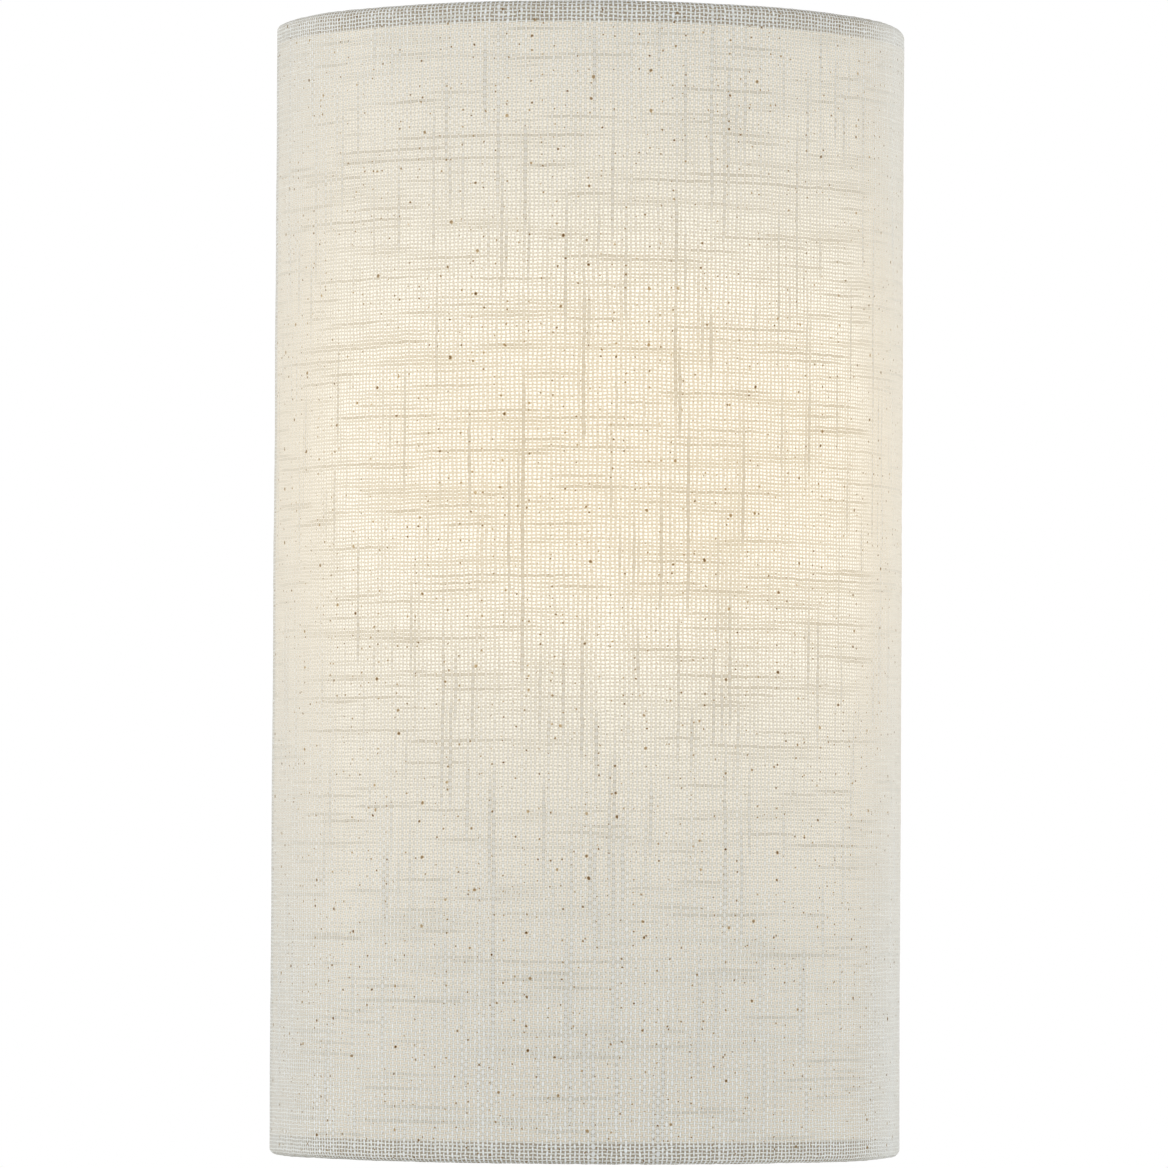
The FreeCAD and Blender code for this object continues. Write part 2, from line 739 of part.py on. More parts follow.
parts = {
    "shade_fabric": shade_fabric(),
    "shade_liner": shade_liner(),
    "top_ring": ring(1),
    "bottom_ring": ring(-1),
    "stay_left": stay(SIDES["left"]),
    "stay_right": stay(SIDES["right"]),
    **named("tab", tab),
    "backplate": backplate(),
    **named("stud", stud),
    "cable_bush": cable_bush(),
    "lampholder_arm": lampholder_arm(),
    "arm_screws": arm_screws(),
    "lampholder_cap": lampholder_cap(),
    "lampholder_skirt": lampholder_skirt(),
    "lampholder_insert": lampholder_insert(),
    "screw_shell": screw_shell(),
    "centre_contact": centre_contact(),
    "nipple": nipple(),
    "nipple_nut_inner": hex_nut(inner_nut_z),
    "nipple_nut_outer": hex_nut(outer_nut_z),
    "nipple_washer": nipple_washer(),
    "terminal_block": terminal_block(),
    "terminal_clamps": terminal_clamps(),
    "terminal_screws": terminal_screws(),
    "terminal_block_screw": terminal_block_screw(),
    "earth_screw": earth_screw(),
    "earth_washer": earth_washer(),
    "earth_tag": earth_tag(),
    "lead_live": lead_live(),
    "lead_neutral": lead_neutral(),
    "lead_earth": lead_earth(),
    "lamp_globe": lamp_globe(),
    "lamp_housing": lamp_housing(),
    "lamp_cap": lamp_cap(),
    "lamp_insulator": lamp_insulator(),
    "lamp_contact": lamp_contact(),
}

os.makedirs("parts", exist_ok=True)
for node, shape in parts.items():
    shape.exportStep(f"parts/{node}.step")
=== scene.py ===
"""Looks of the fabric shade wall light: cloth, liner, steel, lampholder, wiring, lamp and stage."""

import math
from typing import NamedTuple

import bmesh
import bpy
from bpy.props import FloatProperty, FloatVectorProperty, PointerProperty
from mathutils import Matrix, Vector, noise


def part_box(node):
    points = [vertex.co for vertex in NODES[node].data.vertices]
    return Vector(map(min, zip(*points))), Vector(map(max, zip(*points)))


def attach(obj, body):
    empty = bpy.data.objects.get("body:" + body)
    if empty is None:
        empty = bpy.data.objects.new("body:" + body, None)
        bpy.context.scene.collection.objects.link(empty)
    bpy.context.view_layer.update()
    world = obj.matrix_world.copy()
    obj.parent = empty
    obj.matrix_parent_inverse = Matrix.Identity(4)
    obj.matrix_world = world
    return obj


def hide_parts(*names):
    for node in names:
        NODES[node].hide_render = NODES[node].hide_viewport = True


bl_info = {
    "name": "Fabric Shade Wall Light",
    "version": (1, 0, 0),
    "blender": (4, 5, 0),
    "location": "3D View > Sidebar > Wall Light",
    "description": "Cloth, finishes and stage of a half-drum wall light",
    "category": "Object",
}

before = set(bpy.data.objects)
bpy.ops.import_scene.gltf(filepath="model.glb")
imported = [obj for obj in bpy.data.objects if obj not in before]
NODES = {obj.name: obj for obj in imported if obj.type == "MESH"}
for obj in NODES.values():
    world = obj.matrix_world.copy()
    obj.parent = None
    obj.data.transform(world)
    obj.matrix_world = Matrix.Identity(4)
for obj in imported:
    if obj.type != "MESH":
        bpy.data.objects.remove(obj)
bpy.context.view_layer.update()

MM = 0.001
TINY = 1e-6
SIDES = (-1, 1)
QUARTER = math.pi / 2


def corners(node):
    """A node's lowest and highest corners at rest."""
    return [Vector(corner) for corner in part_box(node)]


def middle(node):
    low, high = corners(node)
    return (low + high) / 2


def span(node):
    low, high = corners(node)
    return high - low


SHADE_R = span("shade_fabric").x / 2
SHADE_TOP = span("shade_fabric").z / 2
STAY = middle("stay_right")
WIRE_R = span("stay_right").x / 2
BOW_R, BACK_Y = STAY.x, STAY.y
RIM_Z = middle("top_ring").z
ROLL_R = SHADE_R - BOW_R
LAMP = middle("lamp_globe")
TABS = ("tab_upper_left", "tab_upper_right", "tab_lower_left", "tab_lower_right")
STUDS = ("stud_upper_left", "stud_upper_right", "stud_lower_left", "stud_lower_right")


# ---- Colours ----

WHITE = (1.0, 1.0, 1.0)
BLACK = (0.0, 0.0, 0.0)


def linear(red, green, blue):
    """A colour in the shaders' linear values, from its everyday 0 to 255 ones."""

    def one(c):
        c /= 255
        return c / 12.92 if c <= 0.04045 else ((c + 0.055) / 1.055) ** 2.4

    return one(red), one(green), one(blue)


def colour_property(name, description, default):
    return FloatVectorProperty(
        name=name, description=description, default=default, subtype="COLOR", min=0, max=4
    )


def length_property(name, description, default):
    return FloatProperty(
        name=name, description=description, default=default, unit="LENGTH", precision=5
    )


# ---- Settings ----


class ClothSettings(bpy.types.PropertyGroup):
    warp_pitch: length_property("Warp Pitch", "Between two upright threads", 1.28 * MM)
    weft_pitch: length_property("Weft Pitch", "Between two level threads", 1.01 * MM)
    thickness: length_property("Thickness", "Thickness of the cloth", 0.5 * MM)
    turn_in: length_property("Turn In", "Straight end of the rolled edge", 3.4 * MM)
    hem: length_property("Hem", "Height of the doubled band at each rim", 5.8 * MM)
    thread: colour_property("Thread", "Top of a thread", linear(224, 227, 229))
    # Thread tops near the lamp get a warmer base colour: painted lamp light.
    lamp_lit_thread: colour_property("Warm Thread", "Top of a thread by the lamp", (0.65, 0.62, 0.54))
    # Flank colours are painted shade on the sides of the threads; the warm one is also painted lamp
    # light.
    flank_shade: colour_property("Flank", "Side of a thread", linear(145, 136, 116))
    lamp_warmed_flank_shade: colour_property("Warm Flank", "Side of a thread by the lamp", linear(181, 161, 129))
    # The gap colour is painted shade in the gaps between the threads.
    gap: colour_property("Gap", "Unlit gap between threads", linear(156, 147, 133))
    fleck: colour_property("Fleck", "Colour of the flecks", linear(64, 38, 14))
    glow: colour_property("Glow", "Light through the gaps by the lamp", (0.81, 0.81, 0.75))
    dusk: colour_property("Dusk", "Light through the gaps far from the lamp", (0.29, 0.262, 0.205))
    through: colour_property("Through", "Light through the threads by the lamp", (0.205, 0.142, 0.066))


class LampSettings(bpy.types.PropertyGroup):
    glow: colour_property("Glow", "Light of the opal globe", (1.0, 0.9, 0.72))
    strength: FloatProperty(name="Strength", description="Brightness of the globe", default=0.85)


class StageSettings(bpy.types.PropertyGroup):
    camera: FloatVectorProperty(
        name="Camera",
        description="Place of the camera",
        default=(-0.48434, -2.43136, -0.08292),
        subtype="TRANSLATION",
        unit="LENGTH",
    )
    yaw: FloatProperty(name="Yaw", description="Turn to the left", default=-0.1967, unit="ROTATION")
    pitch: FloatProperty(name="Pitch", description="Look up", default=0.03437, unit="ROTATION")
    roll: FloatProperty(name="Roll", description="Tilt", default=0.00571, unit="ROTATION")
    lens: FloatProperty(name="Lens", description="Focal length in millimetres", default=268.06)
    drop: length_property("Drop", "From the shade down to the floor", 0.5)
    floor: colour_property("Floor", "Colour of the floor", linear(236, 236, 234))


# ---- Node tools ----


class Graph:
    """Adds nodes to a tree. Most calls give back an output socket."""

    def __init__(self, tree):
        self.tree = tree

    def node(self, kind, sockets=None, **settings):
        """A new node, with values or links put into its named sockets."""
        made = self.tree.nodes.new(kind)
        for name, value in settings.items():
            setattr(made, name, value)
        for name, value in (sockets or {}).items():
            self.put(value, made.inputs[name])
        return made

    def put(self, value, socket):
        if isinstance(value, bpy.types.NodeSocket):
            self.tree.links.new(value, socket)
        else:
            socket.default_value = value

    def math(self, operation, *values, clamp=False):
        made = self.node("ShaderNodeMath", operation=operation, use_clamp=clamp)
        for value, socket in zip(values, made.inputs):
            self.put(value, socket)
        return made.outputs[0]

    def product(self, first, *others):
        """Values multiplied one after another."""
        for value in others:
            first = self.math("MULTIPLY", first, value)
        return first

    def rest(self, value):
        """What a value leaves of 1."""
        return self.math("SUBTRACT", 1.0, value)

    def vector(self, operation, *values):
        made = self.node("ShaderNodeVectorMath", operation=operation)
        for value, socket in zip(values, made.inputs):
            self.put(value, socket)
        return made.outputs["Value" if operation == "DOT_PRODUCT" else "Vector"]

    def scaled(self, vector, factor):
        made = self.node("ShaderNodeVectorMath", {"Scale": factor}, operation="SCALE")
        self.put(vector, made.inputs[0])
        return made.outputs["Vector"]

    def mix(self, factor, first, second, blend="MIX"):
        """Two colours mixed, each a socket or linear red, green and blue."""
        made = self.node("ShaderNodeMix", data_type="RGBA", blend_type=blend)
        self.put(factor, made.inputs[0])
        for colour, socket in ((first, made.inputs[6]), (second, made.inputs[7])):
            linked = isinstance(colour, bpy.types.NodeSocket)
            self.put(colour if linked else (*colour, 1.0), socket)
        return made.outputs[2]

    def stained(self, colour, stain):
        """A colour multiplied by another."""
        return self.mix(1.0, colour, stain, "MULTIPLY")

    def shaded(self, colour, factor):
        """A colour multiplied by a value."""
        return self.stained(colour, self.join(factor, factor, factor))

    def ramp(self, value, low, high, to_low=0.0, to_high=1.0, smooth=True):
        """A value carried from one range to another and held at its ends."""
        kind = "SMOOTHSTEP" if smooth else "LINEAR"
        sockets = {"Value": value, "From Min": low, "From Max": high, "To Min": to_low, "To Max": to_high}
        return self.node("ShaderNodeMapRange", sockets, interpolation_type=kind).outputs[0]

    def split(self, vector):
        return tuple(self.node("ShaderNodeSeparateXYZ", {"Vector": vector}).outputs)

    def join(self, x, y, z):
        return self.node("ShaderNodeCombineXYZ", {"X": x, "Y": y, "Z": z}).outputs[0]

    def noise(self, vector, scale, detail=2.0, roughness=0.5, colour=False):
        sockets = {"Vector": vector, "Scale": scale, "Detail": detail, "Roughness": roughness}
        return self.node("ShaderNodeTexNoise", sockets).outputs["Color" if colour else "Fac"]

    def cells(self, vector, scale):
        """Distance from the middle of the nearest cell, and that cell's own random colour."""
        sockets = {"Vector": vector, "Scale": scale}
        made = self.node("ShaderNodeTexVoronoi", sockets, voronoi_dimensions="2D")
        return made.outputs["Distance"], made.outputs["Color"]

    def group(self, tree, sockets):
        """A shader group placed in the tree; gives back its outputs."""
        made = self.node("ShaderNodeGroup", node_tree=tree)
        for name, value in sockets.items():
            self.put(value, made.inputs[name])
        return made.outputs

    def place(self):
        return self.node("ShaderNodeTexCoord").outputs["Object"]

    def bump(self, height, distance, strength=1.0):
        sockets = {"Height": height, "Distance": distance, "Strength": strength}
        return self.node("ShaderNodeBump", sockets).outputs[0]


FLOAT, VECTOR = "NodeSocketFloat", "NodeSocketVector"


def new_group(name, takes, gives):
    """An empty shader group that takes named sockets of given kinds and gives named values."""
    tree = bpy.data.node_groups.new(name, "ShaderNodeTree")
    for label, kind in takes.items():
        tree.interface.new_socket(label, in_out="INPUT", socket_type=kind)
    for label in gives:
        tree.interface.new_socket(label, in_out="OUTPUT", socket_type=FLOAT)
    graph = Graph(tree)
    inside = graph.node("NodeGroupInput").outputs
    outside = graph.node("NodeGroupOutput").inputs
    return tree, graph, inside, outside


def shared(name, build):
    """The node group of that name, built the first time it is asked for."""
    return bpy.data.node_groups.get(name) or build(name)


# ---- Weave and surface groups ----
# A rate is a number of noise cells in a metre, and a width is a share of half a thread's pitch.


class ThreadRun(NamedTuple):
    """How the threads of one direction vary."""

    seed: float
    slub_rate: float
    slub_level: float  # noise level at which a slub begins
    crowding: float  # how far bands of neighbouring threads thicken together


WARP_RUN = ThreadRun(seed=3.7, slub_rate=19.0, slub_level=0.56, crowding=0.5)
WEFT_RUN = ThreadRun(seed=11.3, slub_rate=25.0, slub_level=0.565, crowding=1.0)
SLUB_RISE = 0.14
# How far the threads wander, and the rate of it.
DRIFTS = ((0.95 * MM, 45.0), (0.65 * MM, 420.0))
UNEVEN_RATE = 330.0
UNEVEN_WIDTH = (0.72, 1.28)
OWN_WIDTH = (0.82, 1.2)
TONE_RATE = 60.0
BAND_RATE_ACROSS, BAND_RATE_ALONG = 260.0, 20.0
SLUB_SEED_STEP, TONE_SEED_STEP = 40.0, 80.0
SLUB_WIDTH = 0.27
CROWD_SLUB, CROWD_WIDTH = 0.45, 0.12
EDGE_OUT, EDGE_IN = 0.2, 0.12
CROWN_WIDTH = 0.25
CROWN_HEIGHT, INTERLACE_HEIGHT = 0.7, 0.3
STRAND_RATE, STRAND_HEIGHT = 2600.0, 0.25


def threads_of(g, across, along, wide, cover, run):
    """Number, crown, body, slubs and tone of parallel threads.

    across counts the threads, and along and wide are metres along and across them.
    """
    index = g.math("FLOOR", across)
    key = g.product(index, run.seed)
    off = g.math("ABSOLUTE", g.math("SUBTRACT", g.math("FRACT", across), 0.5))
    off = g.product(off, 2.0)
    own = g.node("ShaderNodeTexWhiteNoise", {"W": key}, noise_dimensions="1D").outputs["Value"]

    def changing(rate, seed, detail=1.0):
        return g.noise(g.join(key, g.product(along, rate), seed), 1.0, detail)

    long_run = changing(run.slub_rate, run.seed + SLUB_SEED_STEP)
    slub = g.ramp(long_run, run.slub_level, run.slub_level + SLUB_RISE)
    band = g.join(g.product(wide, BAND_RATE_ACROSS), g.product(along, BAND_RATE_ALONG), run.seed)
    crowd = g.product(g.ramp(g.noise(band, 1.0, 1.0), 0.5, 0.75), run.crowding)
    slub = g.math("MAXIMUM", slub, g.product(crowd, CROWD_SLUB))
    uneven = g.ramp(changing(UNEVEN_RATE, run.seed), 0.25, 0.75, *UNEVEN_WIDTH, smooth=False)
    width = g.product(uneven, g.ramp(own, 0.0, 1.0, *OWN_WIDTH, smooth=False), cover)
    width = g.math("ADD", width, g.product(slub, SLUB_WIDTH))
    width = g.math("ADD", width, g.product(crowd, CROWD_WIDTH))
    body = g.ramp(off, g.math("ADD", width, EDGE_OUT), g.math("SUBTRACT", width, EDGE_IN))
    rise = g.math("DIVIDE", off, g.math("ADD", width, CROWN_WIDTH))
    crown = g.math("SUBTRACT", 1.0, g.product(rise, rise), clamp=True)
    tone = changing(TONE_RATE, run.seed + TONE_SEED_STEP, 2.0)
    return index, crown, body, slub, tone


def weave_group(name):
    """Plain weave of uneven threads over coordinates in metres."""
    takes = {"Vector": VECTOR, "Warp Pitch": FLOAT, "Weft Pitch": FLOAT, "Cover": FLOAT}
    gives = ("Hole", "Height", "Tone", "Warp", "Warp Slub", "Weft Slub")
    tree, g, given, out = new_group(name, takes, gives)
    moved = given["Vector"]
    for reach, rate in DRIFTS:
        drift = g.noise(given["Vector"], rate, 1.0, colour=True)
        drift = g.vector("SUBTRACT", drift, (0.5, 0.5, 0.5))
        moved = g.vector("ADD", moved, g.scaled(drift, reach))
    u, v, _ = g.split(moved)
    a = g.math("DIVIDE", u, given["Warp Pitch"])
    b = g.math("DIVIDE", v, given["Weft Pitch"])
    warps = threads_of(g, a, v, u, given["Cover"], WARP_RUN)
    wefts = threads_of(g, b, u, v, given["Cover"], WEFT_RUN)
    heights = []
    for across, threads, over in ((b, warps, INTERLACE_HEIGHT), (a, wefts, -INTERLACE_HEIGHT)):
        index, crown, body, _, _ = threads
        phase = g.product(g.math("ADD", g.math("SUBTRACT", across, 0.5), index), math.pi)
        swing = g.product(g.math("COSINE", phase), over)
        heights.append(g.product(body, g.math("ADD", g.product(crown, CROWN_HEIGHT), swing)))
    _, _, warp, warp_slub, warp_tone = warps
    _, _, weft, weft_slub, weft_tone = wefts
    strands = g.product(g.noise(given["Vector"], STRAND_RATE, 2.0), STRAND_HEIGHT)
    warp_top = g.math("GREATER_THAN", *heights)
    values = (
        g.product(g.rest(warp), g.rest(weft)),
        g.math("ADD", g.math("MAXIMUM", *heights), strands),
        g.math("ADD", g.product(warp_tone, warp_top), g.product(weft_tone, g.rest(warp_top))),
        warp_top,
        g.product(warp, warp_slub),
        g.product(weft, weft_slub, g.ramp(warp_top, 0.0, 1.0, 1.0, 0.4, smooth=False)),
    )
    for label, value in zip(gives, values):
        g.put(value, out[label])
    return tree


def fleck_group(name):
    """Scattered specks: each cell past the bare share holds one, of its own size and depth."""
    takes = {"Vector": VECTOR, "Cell": FLOAT, "Bare": FLOAT, "Size": FLOAT}
    tree, g, given, out = new_group(name, takes, ("Speck", "Depth"))
    bent = g.scaled(g.noise(given["Vector"], 900.0, 1.0, colour=True), 0.5 * MM)
    vector = g.vector("ADD", given["Vector"], bent)
    distance, chance = g.cells(vector, g.math("DIVIDE", 1.0, given["Cell"]))
    first, second, _ = g.split(chance)
    share = g.ramp(first, given["Bare"], 1.0, smooth=False)
    reach = g.math("DIVIDE", g.product(share, given["Size"]), given["Cell"])
    rim = g.product(reach, 0.4)
    g.put(g.ramp(distance, g.math("ADD", reach, 1e-4), rim), out["Speck"])
    g.put(second, out["Depth"])
    return tree


def glow_group(name):
    """How much of the lamp's light reaches a place on the shade, 1 straight in front of it."""
    tree, g, given, out = new_group(name, {"Vector": VECTOR, "Falloff": FLOAT}, ("Light",))
    away = g.vector("SUBTRACT", given["Vector"], tuple(LAMP))
    square = g.vector("DOT_PRODUCT", away, away)
    x, y, _ = g.split(given["Vector"])
    radial = g.join(x, g.math("SUBTRACT", y, BACK_Y), 0.0)
    radial = g.vector("NORMALIZE", radial)
    lean = g.vector("DOT_PRODUCT", g.vector("NORMALIZE", away), radial)
    near = SHADE_R + LAMP.y - BACK_Y
    lean = g.math("MAXIMUM", lean, 0.02)
    direct = g.math("DIVIDE", g.product(lean, near**2), square)
    g.put(g.math("POWER", direct, given["Falloff"]), out["Light"])
    return tree


def wear_group(name):
    """Edges rubbed through a finish: 1 on outer edges, broken up by noise."""
    takes = {"Vector": VECTOR, "Width": FLOAT, "Amount": FLOAT}
    tree, g, given, out = new_group(name, takes, ("Wear",))
    soft = g.node("ShaderNodeBevel", {"Radius": given["Width"]}, samples=4).outputs[0]
    sharp = g.node("ShaderNodeNewGeometry").outputs["Normal"]
    turn = g.rest(g.vector("DOT_PRODUCT", soft, sharp))
    patches = g.noise(given["Vector"], 220.0, 4.0, 0.6)
    reach = g.product(g.ramp(patches, 0.35, 0.75), given["Amount"])
    edge = g.math("SUBTRACT", g.math("ADD", turn, reach), 0.55)
    g.put(g.ramp(edge, 0.0, 0.12), out["Wear"])
    return tree


def grain_group(name):
    """Fine surface grain with slow changes of gloss and patches of dirt."""
    takes = {"Vector": VECTOR, "Grain": FLOAT, "Patch": FLOAT, "Stretch": VECTOR}
    tree, g, given, out = new_group(name, takes, ("Height", "Gloss", "Dirt"))
    drawn = g.vector("MULTIPLY", given["Vector"], given["Stretch"])
    g.put(g.noise(drawn, g.math("DIVIDE", 1.0, given["Grain"]), 3.0, 0.55), out["Height"])
    slow = g.noise(given["Vector"], g.math("DIVIDE", 1.0, given["Patch"]), 4.0, 0.6)
    g.put(slow, out["Gloss"])
    dirt = g.noise(given["Vector"], g.math("DIVIDE", 2.3, given["Patch"]), 6.0, 0.7)
    g.put(g.ramp(dirt, 0.52, 0.78), out["Dirt"])
    return tree


# ---- Materials ----


def new_material(name):
    """A material with its graph and its Principled shader."""
    material = bpy.data.materials.new(name)
    material.use_nodes = True
    shader = material.node_tree.nodes["Principled BSDF"]
    return material, Graph(material.node_tree), shader


def surface_grain(g, place, grain, patch, stretch=(1.0, 1.0, 1.0)):
    """Height, gloss and dirt of a surface; grain and patch are lengths."""
    sockets = {"Vector": place, "Grain": grain, "Patch": patch, "Stretch": stretch}
    return g.group(shared("Surface Grain", grain_group), sockets)


def lamp_light(g, place, falloff):
    """The lamp's light at a place on the shade, raised to the power falloff."""
    sockets = {"Vector": place, "Falloff": falloff}
    return g.group(shared("Lamp Glow", glow_group), sockets)["Light"]


RUBBED_STEEL = (0.45, 0.44, 0.42)
RUBBED_WIDTH = 0.5 * MM
GRIME = (0.16, 0.13, 0.1)


def finish_material(
    name,
    colour,
    roughness,
    metallic=0.0,
    grain=0.4 * MM,
    relief=0.01 * MM,
    patch=12 * MM,
    dirt=0.25,
    dirt_colour=GRIME,
    gloss_range=0.12,
    wear=0.0,
):
    """Painted, plated, moulded or glazed surface: grain, patches of gloss, dirt and edge wear."""
    material, g, shader = new_material(name)
    place = g.place()
    surface = surface_grain(g, place, grain, patch)
    shiny, dull = roughness - gloss_range, roughness + gloss_range
    gloss = g.ramp(surface["Gloss"], 0.3, 0.7, shiny, dull, smooth=False)
    base = g.mix(g.product(surface["Dirt"], dirt), colour, dirt_colour)
    shader.inputs["Metallic"].default_value = metallic
    if wear > 0:
        sockets = {"Vector": place, "Width": RUBBED_WIDTH, "Amount": wear}
        rubbed = g.group(shared("Edge Wear", wear_group), sockets)["Wear"]
        base = g.mix(rubbed, base, RUBBED_STEEL)
        g.put(rubbed, shader.inputs["Metallic"])
    g.put(base, shader.inputs["Base Color"])
    g.put(gloss, shader.inputs["Roughness"])
    g.put(g.bump(surface["Height"], relief), shader.inputs["Normal"])
    return material


THREAD_COVER = 0.37
WARM_LIGHT, LIT_LIGHT = (0.16, 0.95), (0.22, 0.71)
WEFT_TINT, WARP_TINT = (0.965, 0.955, 0.89), (1.015, 1.015, 1.005)
FLECK_STAIN = (0.98, 0.81, 0.54)
FLECK_LIGHT = (0.04, 0.016, 0.002)
# Cell, share of the cells left bare, and size, of the small flecks and the large ones.
FLECKS = ((3.3 * MM, 0.3, 0.38 * MM), (8.0 * MM, 0.45, 0.64 * MM))
# Seen from the front left, the gaps close up towards the sides.
OPEN_X = -0.09 * SHADE_R
CLOSING_R = 0.74 * SHADE_R
CLOSED = 0.8


def cloth_flecks(g, flat):
    """Flecks over the flat cloth, 1 where one is darkest."""
    specks = []
    for cell, bare, size in FLECKS:
        sockets = {"Vector": flat, "Cell": cell, "Bare": bare, "Size": size}
        made = g.group(shared("Flecks", fleck_group), sockets)
        depth = g.ramp(made["Depth"], 0.0, 1.0, 0.4, 1.0, smooth=False)
        specks.append(g.product(made["Speck"], depth))
    return g.math("MAXIMUM", *specks)


def cloth_zones(g, place, hem_height):
    """Where the cloth lies double at its rims and back edges, taking painted shadow from the lamp, and
    how far its gaps close up.
    """
    x, y, z = g.split(place)
    hem_z = SHADE_TOP - hem_height
    hem = g.ramp(g.math("ABSOLUTE", z), hem_z - 0.7 * MM, hem_z + 0.5 * MM)
    side = g.ramp(y, -8.0 * MM, -5.0 * MM)
    shifted = g.math("ABSOLUTE", g.math("SUBTRACT", x, OPEN_X))
    return g.math("MAXIMUM", hem, side), g.ramp(shifted, CLOSING_R, SHADE_R, 0.0, CLOSED)


def cloth_material(cloth):
    """Natural linen-like cloth, with the lamp's light through its gaps and threads painted in as
    emission.
    """
    material, g, shader = new_material("linen_cloth")
    flat = g.node("ShaderNodeUVMap", uv_map="Cloth").outputs[0]
    place = g.place()
    sockets = {
        "Vector": flat,
        "Warp Pitch": cloth.warp_pitch,
        "Weft Pitch": cloth.weft_pitch,
        "Cover": THREAD_COVER,
    }
    weave = g.group(shared("Plain Weave", weave_group), sockets)
    light = lamp_light(g, place, falloff=0.3)
    # How near the lamp a place is: painted lamp light that warms the colours below.
    painted_lamp_warmth = g.ramp(light, *WARM_LIGHT)
    doubled_and_shadowed, close = cloth_zones(g, place, cloth.hem)
    speck = cloth_flecks(g, flat)
    stain = g.mix(g.ramp(speck, 0.0, 0.4), WHITE, FLECK_STAIN)

    def less_at_sides(low):
        """1 in front, falling to low at the sides."""
        return g.ramp(close, 0.0, CLOSED, 1.0, low, smooth=False)

    hole = g.product(weave["Hole"], g.rest(close))
    # At the rims and back edges the wires and doubled cloth keep the lamp's light off: painted shadow.
    hole = g.product(hole, g.ramp(doubled_and_shadowed, 0.0, 1.0, 1.0, 0.72, smooth=False))
    hem_shadow = g.product(doubled_and_shadowed, less_at_sides(0.6))
    crown = g.math("MAXIMUM", g.ramp(weave["Height"], 0.3, 0.8), g.product(close, 0.85))
    # Thread tops warmed by painted lamp light, less in the hems and at the sides.
    painted_warmth_on_tops = g.product(painted_lamp_warmth, g.rest(hem_shadow), less_at_sides(0.5))
    top = g.mix(painted_warmth_on_tops, cloth.thread, cloth.lamp_lit_thread)
    top = g.stained(top, g.mix(weave["Warp"], WEFT_TINT, WARP_TINT))
    tone = g.ramp(weave["Tone"], 0.25, 0.75, 0.93, 1.05, smooth=False)
    fibres = g.ramp(g.noise(flat, 1100.0), 0.3, 0.7, 0.95, 1.04, smooth=False)
    top = g.shaded(top, g.product(tone, fibres))
    # Thread tops against thread sides in painted shade, with the gaps in painted shade too.
    flank_shade = g.mix(painted_lamp_warmth, cloth.flank_shade, cloth.lamp_warmed_flank_shade)
    base = g.mix(hole, g.mix(crown, flank_shade, top), cloth.gap)
    # Slubs are mixed towards the flanks' painted shade colour, the warp slubs more so near the lamp.
    weft_darker = g.product(weave["Weft Slub"], 0.32)
    warp_darker = g.product(weave["Warp Slub"], g.ramp(painted_lamp_warmth, 0.0, 1.0, 0.12, 0.28, smooth=False))
    darker = g.product(g.math("MAXIMUM", weft_darker, warp_darker), less_at_sides(0.35))
    base = g.stained(g.mix(darker, base, flank_shade), stain)
    g.put(g.mix(speck, base, cloth.fleck), shader.inputs["Base Color"])

    # Emission: the lamp's light through the gaps and threads, painted onto the cloth.
    lit = g.mix(g.ramp(light, *LIT_LIGHT, smooth=False), cloth.dusk, cloth.glow)
    thick = g.math("MAXIMUM", weave["Warp Slub"], g.product(weave["Weft Slub"], 0.8))
    soft = g.shaded(g.mix(painted_lamp_warmth, BLACK, cloth.through), g.ramp(thick, 0.0, 1.0, 1.0, 0.65))
    shining = g.mix(hem_shadow, g.mix(hole, soft, lit), BLACK)
    shining = g.mix(g.product(speck, 0.95), g.stained(shining, stain), FLECK_LIGHT)
    g.put(shining, shader.inputs["Emission Color"])
    shader.inputs["Emission Strength"].default_value = 1.0
    shader.inputs["Roughness"].default_value = 0.95
    shader.inputs["Specular IOR Level"].default_value = 0.15
    g.put(g.bump(weave["Height"], 0.1 * MM, 0.7), shader.inputs["Normal"])
    return material


def liner_material():
    """White translucent styrene sheet, with the lamp's light painted on as a warm glow where the lamp is
    near.
    """
    material, g, shader = new_material("styrene_liner")
    place = g.place()
    light = lamp_light(g, place, falloff=0.5)
    surface = surface_grain(g, place, grain=1.2 * MM, patch=30 * MM, stretch=(1.0, 1.0, 0.2))
    base = g.mix(g.product(surface["Dirt"], 0.1), (0.8, 0.79, 0.75), (0.6, 0.56, 0.48))
    g.put(base, shader.inputs["Base Color"])
    # Emission: painted lamp light on the liner.
    g.put(g.mix(light, (0.03, 0.026, 0.02), (0.3, 0.25, 0.17)), shader.inputs["Emission Color"])
    shader.inputs["Emission Strength"].default_value = 1.0
    g.put(g.ramp(surface["Gloss"], 0.3, 0.7, 0.35, 0.55), shader.inputs["Roughness"])
    g.put(g.bump(surface["Height"], 0.02 * MM), shader.inputs["Normal"])
    return material


STRIPE_WAVE = 0.35 * MM
STRIPE_SLANT = 0.8


def lead_material(name, colour, stripe=None):
    """Insulation of a lead, with stripes of a second colour along it where one is given."""
    material = finish_material(
        name, colour, 0.4, grain=0.8 * MM, relief=0.015 * MM, patch=8 * MM, dirt=0.15
    )
    if stripe is not None:
        g = Graph(material.node_tree)
        socket = material.node_tree.nodes["Principled BSDF"].inputs["Base Color"]
        x, y, _ = g.split(g.place())
        slanted = g.math("ADD", x, g.product(y, STRIPE_SLANT))
        wave = g.math("SINE", g.math("DIVIDE", slanted, STRIPE_WAVE))
        base = socket.links[0].from_socket
        g.put(g.mix(g.ramp(wave, -0.08, 0.08), base, stripe), socket)
    return material


